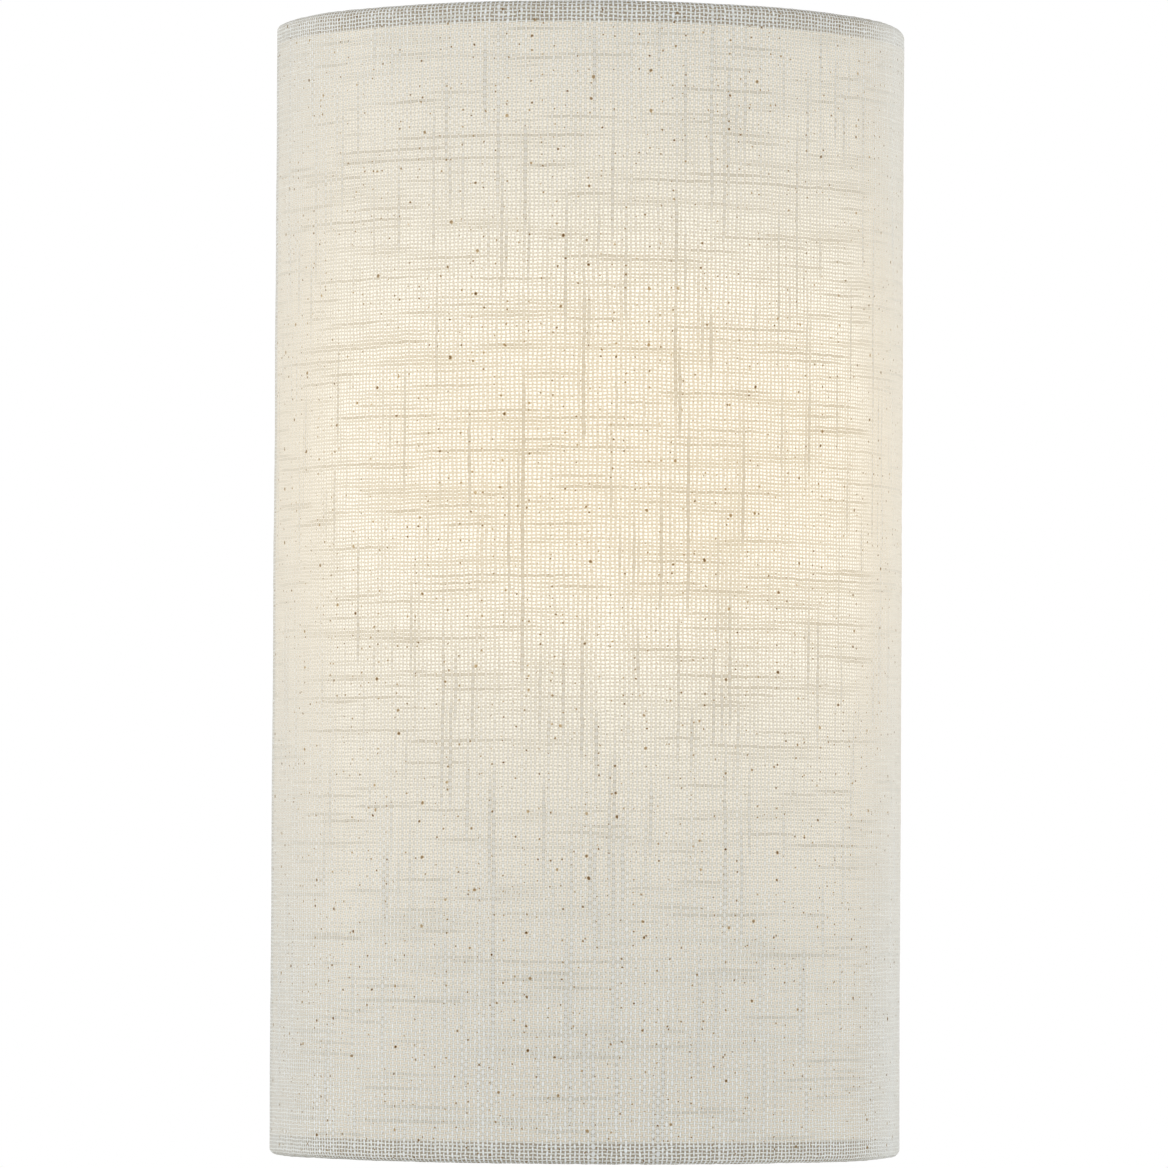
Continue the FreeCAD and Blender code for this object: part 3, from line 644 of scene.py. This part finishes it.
def globe_material(lamp):
    """Opal globe, glowing, a little dimmer where it joins its housing."""
    material, g, shader = new_material("opal_globe")
    place = g.place()
    _, _, z = g.split(place)
    low = corners("lamp_globe")[0].z
    shine = g.shaded(lamp.glow, g.ramp(z, low, low + 14 * MM, 0.55, 1.0))
    g.put(shine, shader.inputs["Emission Color"])
    shader.inputs["Emission Strength"].default_value = lamp.strength
    surface = surface_grain(g, place, grain=0.6 * MM, patch=20 * MM)
    base = g.mix(surface["Dirt"], (0.34, 0.33, 0.3), (0.3, 0.285, 0.25))
    g.put(base, shader.inputs["Base Color"])
    g.put(g.ramp(surface["Gloss"], 0.3, 0.7, 0.25, 0.4), shader.inputs["Roughness"])
    g.put(g.bump(surface["Height"], 0.01 * MM), shader.inputs["Normal"])
    return material


def assign(node, material):
    for slot in NODES[node].material_slots:
        slot.material = material


# ---- Mesh tools ----


def of_kind(items, kind):
    return [item for item in items if isinstance(item, kind)]


def object_from(name, bm):
    """Turns a bmesh into an object at the origin."""
    mesh = bpy.data.meshes.new(name)
    bm.to_mesh(mesh)
    bm.free()
    made = bpy.data.objects.new(name, mesh)
    bpy.context.scene.collection.objects.link(made)
    return made


def add_piece(name, bm, material, body):
    """Turns a bmesh into a smooth piece that rides on a body."""
    piece = object_from(name, bm)
    for polygon in piece.data.polygons:
        polygon.use_smooth = True
    piece.data.materials.append(material)
    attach(piece, body)
    return piece


def finish_modifiers(piece):
    """Puts the result of a piece's modifiers into its mesh."""
    bpy.context.view_layer.update()
    graph = bpy.context.evaluated_depsgraph_get()
    made = bpy.data.meshes.new_from_object(piece.evaluated_get(graph))
    piece.modifiers.clear()
    piece.data = made


def thicken(piece, thickness, offset):
    """Gives an open skin its thickness; an offset of -1 puts all of it inside."""
    wall = piece.modifiers.new("Wall", "SOLIDIFY")
    wall.thickness = thickness
    wall.offset = offset


def add_block(bm, low, high):
    """Adds a plain block between two corners and gives back its vertices."""
    low, high = Vector(low), Vector(high)
    verts = bmesh.ops.create_cube(bm, size=1.0)["verts"]
    bmesh.ops.scale(bm, verts=verts, vec=high - low)
    bmesh.ops.translate(bm, verts=verts, vec=(low + high) / 2)
    return verts


def add_rounded_block(bm, low, high, bevel):
    """Adds a block between two corners, with its edges rounded."""
    verts = add_block(bm, low, high)
    edges = list(dict.fromkeys(e for v in verts for e in v.link_edges))
    bmesh.ops.bevel(
        bm, geom=edges, offset=bevel, segments=2, affect="EDGES", profile=0.5, material=-1
    )


# ---- Cloth ----

# Round a wire the cloth goes half a turn, then TURN_PAST more, then straight in.
HALF_STEPS = 20
TURN_PAST = math.radians(35)
PAST_STEPS = 4
FRONT_STEPS = 132
ROW = 2.45 * MM
CORNER_CLEAR = 4.5 * MM
# The roll round a stay reaches this far forward and out inside the front.
ROLL_FRONT = BACK_Y - 8 * MM
ROLL_OUT = BOW_R + 1.2 * MM


def roll_angle(out, over):
    """Angle round a wire from the outer face, 0 to a full turn."""
    return (math.atan2(over, out) + 0.5) % math.tau - 0.5


def cloth_coordinates(point):
    """Where a point of the shade lies on the flat cloth, in metres."""
    x, y, z = point
    radius = math.hypot(x, y - BACK_Y)
    side = 1 if x > 0 else -1
    level = 1 if z > 0 else -1
    between = abs(z) <= RIM_Z
    inside = y > ROLL_FRONT and radius < ROLL_OUT and abs(z) < RIM_Z
    behind = y > BACK_Y + TINY or inside
    if behind:
        turn = roll_angle(abs(x) - BOW_R, y - BACK_Y)
        u = side * (QUARTER * SHADE_R + turn * ROLL_R)
    else:
        u = math.atan2(x, BACK_Y - y) * SHADE_R
    if between and (behind or radius > ROLL_OUT):
        return u, z
    if behind:
        lift = math.hypot(abs(x) - BOW_R, y - BACK_Y)
        over = math.atan2(abs(z) - RIM_Z, lift)
    else:
        over = roll_angle(radius - BOW_R, abs(z) - RIM_Z)
    return u, level * (RIM_Z + ROLL_R * over)


def cloth_section(turn_in):
    """The cloth from its turned-in end at the top, over both wires, to the one at the foot."""
    arc = [math.pi * step / HALF_STEPS for step in range(HALF_STEPS + 1)]
    arc += [math.pi + TURN_PAST * step / PAST_STEPS for step in range(1, PAST_STEPS + 1)]
    rolled = [(BOW_R + ROLL_R * math.cos(t), RIM_Z + ROLL_R * math.sin(t)) for t in arc]
    tip_r, tip_z = rolled[-1]
    out, up = -math.sin(arc[-1]) * turn_in, math.cos(arc[-1]) * turn_in
    rolled += [(tip_r + out * part, tip_z + up * part) for part in (0.5, 1.0)]
    rows = round(2 * RIM_Z / ROW)
    straight = [(SHADE_R, RIM_Z - 2 * RIM_Z * row / rows) for row in range(1, rows)]
    return rolled[::-1] + straight + [(r, -z) for r, z in rolled]


def roll_side(bm, side, turn_in):
    """Rolls one back edge of the cloth round its stay, with a ball at each corner."""

    def at_edge(co):
        return abs(co.y - BACK_Y) < TINY and side * co.x > BOW_R - TINY

    def spin(edges, angle, steps):
        made = bmesh.ops.spin(
            bm,
            geom=list(dict.fromkeys(v for e in edges for v in e.verts)) + edges,
            cent=(side * BOW_R, BACK_Y, 0),
            axis=(0, 0, 1),
            angle=side * angle,
            steps=steps,
        )
        return of_kind(made["geom_last"], bmesh.types.BMEdge)

    edge = [e for e in bm.edges if all(at_edge(v.co) for v in e.verts)]
    last = spin(edge, math.pi, HALF_STEPS)
    short = [e for e in last if all(abs(v.co.z) < RIM_Z - CORNER_CLEAR for v in e.verts)]
    last = spin(short, TURN_PAST, PAST_STEPS)
    end = math.pi + TURN_PAST
    way = Vector((-math.sin(end) * side, math.cos(end), 0)) * turn_in / 2
    for _ in range(2):
        made = bmesh.ops.extrude_edge_only(bm, edges=last)["geom"]
        last = of_kind(made, bmesh.types.BMEdge)
        bmesh.ops.translate(bm, verts=of_kind(made, bmesh.types.BMVert), vec=way)


def uneven(point, normal):
    """How far the stretched cloth lies from a true form at a point, more so by the rims."""
    slow = noise.noise(point * 38) * 0.16 * MM
    fine = noise.noise(point * 400 + Vector((7, 3, 1))) * 0.07 * MM
    near_rim = max(0.0, (abs(point.z) - RIM_Z + 6 * MM) / (8 * MM))
    return normal * (slow + fine * (1 + min(near_rim, 1.0)))


def cutters(name):
    """Solids that the cloth is cut back from: the tabs and the ends of the rings' bars."""
    bm = bmesh.new()
    gap = 0.5 * MM
    inner, outer = SHADE_R - 9.5 * MM, BOW_R - WIRE_R / 2
    front = -9 * MM
    for tab in TABS:
        low, high = corners(tab)
        left, right = sorted((inner, outer)) if low.x > 0 else sorted((-inner, -outer))
        add_block(bm, (left, front, low.z - gap), (right, high.y + gap, high.z + gap))
    length = 9 * MM
    reach = WIRE_R + 0.3 * MM
    for side in SIDES:
        for level in SIDES:
            centre = Vector((side * (BOW_R - 0.5 * MM - length / 2), BACK_Y, level * RIM_Z))
            bmesh.ops.create_cone(
                bm,
                cap_ends=True,
                segments=32,
                radius1=reach,
                radius2=reach,
                depth=length,
                matrix=Matrix.Translation(centre) @ Matrix.Rotation(QUARTER, 4, "Y"),
            )
    return object_from(name, bm)


class WALLLIGHT_OT_cloth(bpy.types.Operator):
    """Wrap the cloth round the shade's frame"""

    bl_idname = "walllight.cloth"
    bl_label = "Cloth"

    def execute(self, context):
        cloth = context.scene.wall_light_cloth
        bm = bmesh.new()
        points = [bm.verts.new((r, BACK_Y, z)) for r, z in cloth_section(cloth.turn_in)]
        edges = [bm.edges.new(pair) for pair in zip(points, points[1:])]
        bmesh.ops.spin(
            bm,
            geom=points + edges,
            cent=(0, BACK_Y, 0),
            axis=(0, 0, 1),
            angle=-math.pi,
            steps=FRONT_STEPS,
        )
        bmesh.ops.remove_doubles(bm, verts=bm.verts, dist=TINY)
        for side in SIDES:
            roll_side(bm, side, cloth.turn_in)
        bmesh.ops.remove_doubles(bm, verts=bm.verts, dist=2 * TINY)
        bmesh.ops.recalc_face_normals(bm, faces=bm.faces)
        front = min(bm.faces, key=lambda face: face.calc_center_median().y)
        if front.normal.y > 0:
            bmesh.ops.reverse_faces(bm, faces=bm.faces)
        flat = bm.loops.layers.uv.new("Cloth")
        for face in bm.faces:
            centre = face.calc_center_median()
            for loop in face.loops:
                near = loop.vert.co.lerp(centre, 1e-3)
                loop[flat].uv = cloth_coordinates(near)
        bm.normal_update()
        moves = [(v, uneven(v.co, v.normal)) for v in bm.verts]
        for vert, move in moves:
            vert.co += move
        piece = add_piece("cloth_skin", bm, cloth_material(cloth), "shade")
        thicken(piece, cloth.thickness, -1.0)
        cutter = cutters("cloth_cutter")
        cut = piece.modifiers.new("Cut", "BOOLEAN")
        cut.operation = "DIFFERENCE"
        cut.solver = "EXACT"
        cut.object = cutter
        finish_modifiers(piece)
        bpy.data.objects.remove(cutter)
        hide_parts("shade_fabric")
        assign("shade_liner", liner_material())
        return {"FINISHED"}


# ---- Turned pieces ----

THREAD_PITCH = 3.63 * MM
THREAD_DEPTH = 1.0 * MM
THREAD_ROWS = 12
TURN_STEPS = 72


def threaded_tube(low, high, radius):
    """A rounded right-hand thread about the lamp's axis, cut level at both ends."""
    bm = bmesh.new()
    start = (math.floor(low / THREAD_PITCH) - 1) * THREAD_PITCH
    count = THREAD_ROWS * (math.ceil((high - start) / THREAD_PITCH) + 1)
    points = []
    for row in range(count + 1):
        hollow = THREAD_DEPTH * (0.5 - 0.5 * math.cos(math.tau * row / THREAD_ROWS))
        z = start + row * THREAD_PITCH / THREAD_ROWS
        points.append(bm.verts.new((LAMP.x + radius - hollow, LAMP.y, z)))
    edges = [bm.edges.new(pair) for pair in zip(points, points[1:])]
    bmesh.ops.spin(
        bm,
        geom=points + edges,
        cent=(LAMP.x, LAMP.y, 0),
        axis=(0, 0, 1),
        dvec=(0, 0, THREAD_PITCH / TURN_STEPS),
        angle=math.tau,
        steps=TURN_STEPS,
    )
    bmesh.ops.remove_doubles(bm, verts=bm.verts, dist=5e-6)
    for z, way in ((low, -1), (high, 1)):
        bmesh.ops.bisect_plane(
            bm,
            geom=bm.verts[:] + bm.edges[:] + bm.faces[:],
            plane_co=(0, 0, z),
            plane_no=(0, 0, way),
            clear_outer=True,
        )
    return bm


def carry_on(bm, z, rings):
    """Carries a tube's open end at height z on through rings of (radius, height)."""
    edges = [e for e in bm.edges if e.is_boundary and all(abs(v.co.z - z) < TINY for v in e.verts)]
    for radius, height in rings:
        made = bmesh.ops.extrude_edge_only(bm, edges=edges)["geom"]
        edges = of_kind(made, bmesh.types.BMEdge)
        for vert in of_kind(made, bmesh.types.BMVert):
            out = Vector((vert.co.x - LAMP.x, vert.co.y - LAMP.y, 0)).normalized() * radius
            vert.co = (LAMP.x + out.x, LAMP.y + out.y, height)


def face_outwards(bm):
    """Turns the faces of an open tube about the lamp's axis outwards."""
    bmesh.ops.recalc_face_normals(bm, faces=bm.faces)
    bm.faces.ensure_lookup_table()
    face = bm.faces[len(bm.faces) // 2]
    centre = face.calc_center_median()
    if face.normal.dot(Vector((centre.x - LAMP.x, centre.y - LAMP.y, 0))) < 0:
        bmesh.ops.reverse_faces(bm, faces=bm.faces)


def screw_shell(brass):
    """The lampholder's threaded shell and the tail that the neutral lead is welded to."""
    low, high = corners("screw_shell")
    seat = corners("lampholder_insert")[1].z
    wall = 0.4 * MM
    inner = high.x - LAMP.x - wall
    thread_low, thread_high = seat + 1.8 * MM, high.z - 2.0 * MM
    bm = threaded_tube(thread_low, thread_high, inner)
    carry_on(bm, thread_low, [(inner, seat + 0.9 * MM), (inner, seat + 0.02 * MM)])
    carry_on(bm, thread_high, [(inner, high.z - 1.1 * MM), (inner, high.z)])
    face_outwards(bm)
    piece = add_piece("shell_thread", bm, brass, "bracket")
    thicken(piece, wall, 1.0)
    finish_modifiers(piece)
    bm = bmesh.new()
    bm.from_mesh(piece.data)
    tail_half = 2.5 * MM
    back = LAMP.y + inner
    tail_low, tail_high = (-tail_half, back, low.z), (tail_half, back + wall, seat + 1.2 * MM)
    add_rounded_block(bm, tail_low, tail_high, 0.1 * MM)
    bm.to_mesh(piece.data)
    bm.free()
    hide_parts("screw_shell")


BEAD_SIZE = (0.8 * MM, 0.6 * MM, 1.0 * MM)
BEAD_STEP = 1.25 * MM
BEAD_INSET = 2.5 * MM


def weld_beads(white):
    """Rows of weld along the edges where the tabs meet the stays."""
    bm = bmesh.new()
    size = Matrix.Diagonal((*BEAD_SIZE, 1.0))
    for tab in TABS:
        low, high = corners(tab)
        side = 1 if low.x > 0 else -1
        x = side * (BOW_R - WIRE_R - 0.15 * MM)
        z = low.z + BEAD_INSET
        while z < high.z - BEAD_INSET:
            for y in (low.y - 0.1 * MM, high.y + 0.1 * MM):
                wobble = noise.noise_vector(Vector((x, y, z)) * 900) * 0.12 * MM
                place = Matrix.Translation(Vector((x, y, z)) + wobble) @ size
                bmesh.ops.create_icosphere(bm, subdivisions=2, radius=1.0, matrix=place)
            z += BEAD_STEP
    add_piece("weld_beads", bm, white, "shade")


# ---- Steel ----

WHITE_STEEL = (
    "top_ring",
    "bottom_ring",
    "stay_left",
    "stay_right",
    *TABS,
    "backplate",
    "lampholder_arm",
)
ZINC_STEEL = (
    *STUDS,
    "arm_screws",
    "nipple",
    "nipple_nut_inner",
    "nipple_nut_outer",
    "nipple_washer",
    "terminal_screws",
    "terminal_block_screw",
    "earth_screw",
    "earth_washer",
)
BRASS = ("screw_shell", "centre_contact", "terminal_clamps", "earth_tag")


class WALLLIGHT_OT_steel(bpy.types.Operator):
    """Finish the wires, the plate and the small hardware"""

    bl_idname = "walllight.steel"
    bl_label = "Steel and Hardware"

    def execute(self, context):
        white = finish_material(
            "white_steel", linear(226, 225, 221), 0.42,
            grain=0.7 * MM, relief=0.03 * MM, patch=25 * MM, dirt=0.12, wear=0.28,
        )
        zinc = finish_material(
            "zinc_steel", (0.62, 0.62, 0.6), 0.34, metallic=1.0,
            grain=0.25 * MM, relief=0.006 * MM, patch=3 * MM, dirt=0.35, gloss_range=0.14,
        )
        brass = finish_material(
            "brass", (0.72, 0.5, 0.2), 0.3, metallic=1.0,
            grain=0.2 * MM, relief=0.004 * MM, patch=3 * MM, dirt=0.4, dirt_colour=(0.25, 0.14, 0.06),
        )
        for names, material in ((WHITE_STEEL, white), (ZINC_STEEL, zinc), (BRASS, brass)):
            for name in names:
                assign(name, material)
        rubber = finish_material(
            "black_rubber", (0.035, 0.034, 0.033), 0.7,
            grain=0.3 * MM, dirt=0.3, dirt_colour=(0.12, 0.11, 0.1),
        )
        assign("cable_bush", rubber)
        screw_shell(brass)
        weld_beads(white)
        return {"FINISHED"}


# ---- Lampholder and wiring ----

GRIP_RIBS = 28
RIB_HALF = 0.7 * MM
RIB_GAP = 0.3  # radians left free on each side of the arm
BAND_R = 0.5 * MM


def grip(moulded):
    """Ribs round the lampholder's foot and two raised bands round its skirt."""
    bm = bmesh.new()
    low, high = corners("lampholder_cap")
    radius = high.x - LAMP.x
    rib_low = (radius - 0.5 * MM, -RIB_HALF, low.z + 3.2 * MM)
    rib_high = (radius + 0.45 * MM, RIB_HALF, high.z - 2.2 * MM)
    for index in range(GRIP_RIBS):
        turn = math.tau * (index + 0.5) / GRIP_RIBS
        if abs(turn - QUARTER) < RIB_GAP:
            continue
        before = set(bm.verts)
        add_rounded_block(bm, rib_low, rib_high, 0.3 * MM)
        rib = [v for v in bm.verts if v not in before]
        bmesh.ops.rotate(bm, verts=rib, cent=(0, 0, 0), matrix=Matrix.Rotation(turn, 3, "Z"))
        bmesh.ops.translate(bm, verts=rib, vec=(LAMP.x, LAMP.y, 0))
    low, high = corners("lampholder_skirt")
    for z in (low.z + 2.0 * MM, high.z - 6.0 * MM):
        place = Matrix.Translation((LAMP.x + radius, LAMP.y, z)) @ Matrix.Rotation(QUARTER, 4, "X")
        verts = bmesh.ops.create_circle(bm, segments=12, radius=BAND_R, matrix=place)["verts"]
        edges = list(dict.fromkeys(e for v in verts for e in v.link_edges))
        bmesh.ops.spin(
            bm,
            geom=verts + edges,
            cent=(LAMP.x, LAMP.y, 0),
            axis=(0, 0, 1),
            angle=math.tau,
            steps=96,
            use_merge=True,
        )
    bmesh.ops.recalc_face_normals(bm, faces=bm.faces)
    add_piece("lampholder_grip", bm, moulded, "bracket")


class WALLLIGHT_OT_lampholder(bpy.types.Operator):
    """Finish the lampholder"""

    bl_idname = "walllight.lampholder"
    bl_label = "Lampholder"

    def execute(self, context):
        moulded = finish_material(
            "white_thermoplastic", linear(232, 230, 222), 0.35,
            grain=0.5 * MM, relief=0.008 * MM, patch=14 * MM, dirt=0.1,
        )
        stone = finish_material(
            "steatite", linear(222, 214, 198), 0.6, grain=0.3 * MM, relief=0.03 * MM, dirt=0.2
        )
        for name in ("lampholder_cap", "lampholder_skirt"):
            assign(name, moulded)
        assign("lampholder_insert", stone)
        grip(moulded)
        return {"FINISHED"}


class WALLLIGHT_OT_wiring(bpy.types.Operator):
    """Finish the terminal block and the leads"""

    bl_idname = "walllight.wiring"
    bl_label = "Wiring"

    def execute(self, context):
        block = finish_material(
            "white_polyamide", linear(226, 222, 210), 0.5, relief=0.015 * MM, dirt=0.2
        )
        assign("terminal_block", block)
        assign("lead_live", lead_material("brown_insulation", (0.1, 0.035, 0.012)))
        assign("lead_neutral", lead_material("blue_insulation", (0.02, 0.1, 0.42)))
        assign(
            "lead_earth",
            lead_material("green_yellow_insulation", (0.05, 0.26, 0.05), (0.8, 0.66, 0.03)),
        )
        return {"FINISHED"}


# ---- Lamp ----


def lamp_thread(nickel):
    """The lamp's threaded cap, rolled over the insulator at its foot."""
    low, high = corners("lamp_cap")
    radius = high.x - LAMP.x
    foot, head = low.z + 2.0 * MM, high.z - 3.4 * MM
    bm = threaded_tube(foot, head, radius)
    below = [(0.3 * MM, 1.1 * MM), (0.5 * MM, 0.4 * MM), (0.9 * MM, 0.0)]
    carry_on(bm, foot, [(radius - inset, low.z + rise) for inset, rise in below])
    above = [(0.6 * MM, 2.8 * MM), (0.1 * MM, 2.2 * MM), (0.0, 1.6 * MM), (0.0, 0.0)]
    carry_on(bm, head, [(radius - inset, high.z - drop) for inset, drop in above])
    face_outwards(bm)
    piece = add_piece("cap_thread", bm, nickel, "lamp")
    thicken(piece, 0.4 * MM, -1.0)
    finish_modifiers(piece)
    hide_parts("lamp_cap")


class WALLLIGHT_OT_lamp(bpy.types.Operator):
    """Finish the lamp"""

    bl_idname = "walllight.lamp"
    bl_label = "Lamp"

    def execute(self, context):
        lamp = context.scene.wall_light_lamp
        assign("lamp_globe", globe_material(lamp))
        housing = finish_material(
            "white_housing", linear(234, 233, 229), 0.38, relief=0.006 * MM, dirt=0.06
        )
        nickel = finish_material(
            "nickel_cap", (0.66, 0.63, 0.58), 0.26, metallic=1.0,
            grain=0.2 * MM, relief=0.004 * MM, patch=4 * MM,
        )
        glass = finish_material("black_glass", (0.012, 0.012, 0.013), 0.12, gloss_range=0.05, dirt=0.1)
        assign("lamp_housing", housing)
        assign("lamp_contact", nickel)
        assign("lamp_insulator", glass)
        lamp_thread(nickel)
        return {"FINISHED"}


# ---- Stage ----


def floor_material(stage):
    """Pale floor with faint speckles."""
    material, g, shader = new_material("floor")
    speckle = g.ramp(g.noise(g.place(), 60.0, 4.0), 0.3, 0.7, 0.0, 0.04)
    g.put(g.mix(speckle, stage.floor, (0.7, 0.7, 0.7)), shader.inputs["Base Color"])
    shader.inputs["Roughness"].default_value = 0.85
    return material


def studio_world(context):
    """Pale light, weaker from above, below and behind the camera; the camera and mirrors see white."""
    world = bpy.data.worlds.new("studio")
    world.use_nodes = True
    context.scene.world = world
    g = Graph(world.node_tree)
    sky = world.node_tree.nodes["Background"]
    sky.inputs["Color"].default_value = (*WHITE, 1.0)
    path = g.node("ShaderNodeLightPath").outputs
    seen = g.math("MAXIMUM", path["Is Camera Ray"], path["Is Glossy Ray"])
    seen = g.math("MAXIMUM", seen, path["Is Transmission Ray"])
    way = g.vector("NORMALIZE", g.node("ShaderNodeTexCoord").outputs["Generated"])
    _, away, up = g.split(way)
    above = g.ramp(up, 0.25, 1.0, 0.66, 0.34)
    behind_camera = g.ramp(away, -1.0, -0.5, 0.75, 1.0)
    below = g.ramp(up, -1.0, -0.3, 0.6, 1.0)
    level = g.product(above, behind_camera, below)
    g.put(g.math("MAXIMUM", level, seen), sky.inputs["Strength"])


LIGHT_SIZE = 1.8


def area_light(name, place, power):
    """A large square lamp that points at the origin."""
    light = bpy.data.lights.new(name, "AREA")
    light.shape = "SQUARE"
    light.size = LIGHT_SIZE
    light.energy = power
    lamp = bpy.data.objects.new(name, light)
    turn = (-Vector(place)).to_track_quat("-Z", "Y").to_matrix().to_4x4()
    lamp.matrix_world = Matrix.Translation(place) @ turn
    bpy.context.scene.collection.objects.link(lamp)


class WALLLIGHT_OT_stage(bpy.types.Operator):
    """Set up the camera, the floor and the studio light"""

    bl_idname = "walllight.stage"
    bl_label = "Stage"

    def execute(self, context):
        stage = context.scene.wall_light_stage
        data = bpy.data.cameras.new("camera")
        data.sensor_fit = "HORIZONTAL"
        data.sensor_width = 36.0
        data.lens = stage.lens
        data.clip_start = 0.01
        data.clip_end = 50
        camera = bpy.data.objects.new("camera", data)
        camera.matrix_world = (
            Matrix.Translation(stage.camera)
            @ Matrix.Rotation(stage.yaw, 4, "Z")
            @ Matrix.Rotation(QUARTER + stage.pitch, 4, "X")
            @ Matrix.Rotation(stage.roll, 4, "Z")
        )
        context.scene.collection.objects.link(camera)
        context.scene.camera = camera
        context.scene.view_settings.view_transform = "Standard"

        bm = bmesh.new()
        bmesh.ops.create_grid(bm, x_segments=2, y_segments=2, size=2.2)
        bmesh.ops.translate(bm, verts=bm.verts, vec=(0, 0, -SHADE_TOP - stage.drop))
        floor = object_from("floor", bm)
        floor.data.materials.append(floor_material(stage))
        studio_world(context)
        area_light("key", (-2.2, -0.95, 0.7), 33.0)
        area_light("fill", (2.0, -1.35, 0.2), 28.0)
        return {"FINISHED"}


# ---- Panel and registration ----

OPERATORS = (
    WALLLIGHT_OT_cloth,
    WALLLIGHT_OT_steel,
    WALLLIGHT_OT_lampholder,
    WALLLIGHT_OT_wiring,
    WALLLIGHT_OT_lamp,
    WALLLIGHT_OT_stage,
)


class WALLLIGHT_PT_panel(bpy.types.Panel):
    bl_idname = "WALLLIGHT_PT_panel"
    bl_label = "Wall Light"
    bl_space_type = "VIEW_3D"
    bl_region_type = "UI"
    bl_category = "Wall Light"

    def draw(self, context):
        for operator in OPERATORS:
            self.layout.operator(operator.bl_idname)


SETTINGS = {
    "wall_light_cloth": ClothSettings,
    "wall_light_lamp": LampSettings,
    "wall_light_stage": StageSettings,
}
CLASSES = (*SETTINGS.values(), *OPERATORS, WALLLIGHT_PT_panel)


def register():
    for cls in CLASSES:
        bpy.utils.register_class(cls)
    for name, cls in SETTINGS.items():
        setattr(bpy.types.Scene, name, PointerProperty(type=cls))


def unregister():
    for name in SETTINGS:
        delattr(bpy.types.Scene, name)
    for cls in reversed(CLASSES):
        bpy.utils.unregister_class(cls)


def main():
    register()
    bpy.ops.walllight.cloth()
    bpy.ops.walllight.steel()
    bpy.ops.walllight.lampholder()
    bpy.ops.walllight.wiring()
    bpy.ops.walllight.lamp()
    bpy.ops.walllight.stage()


if __name__ == "__main__":
    main()
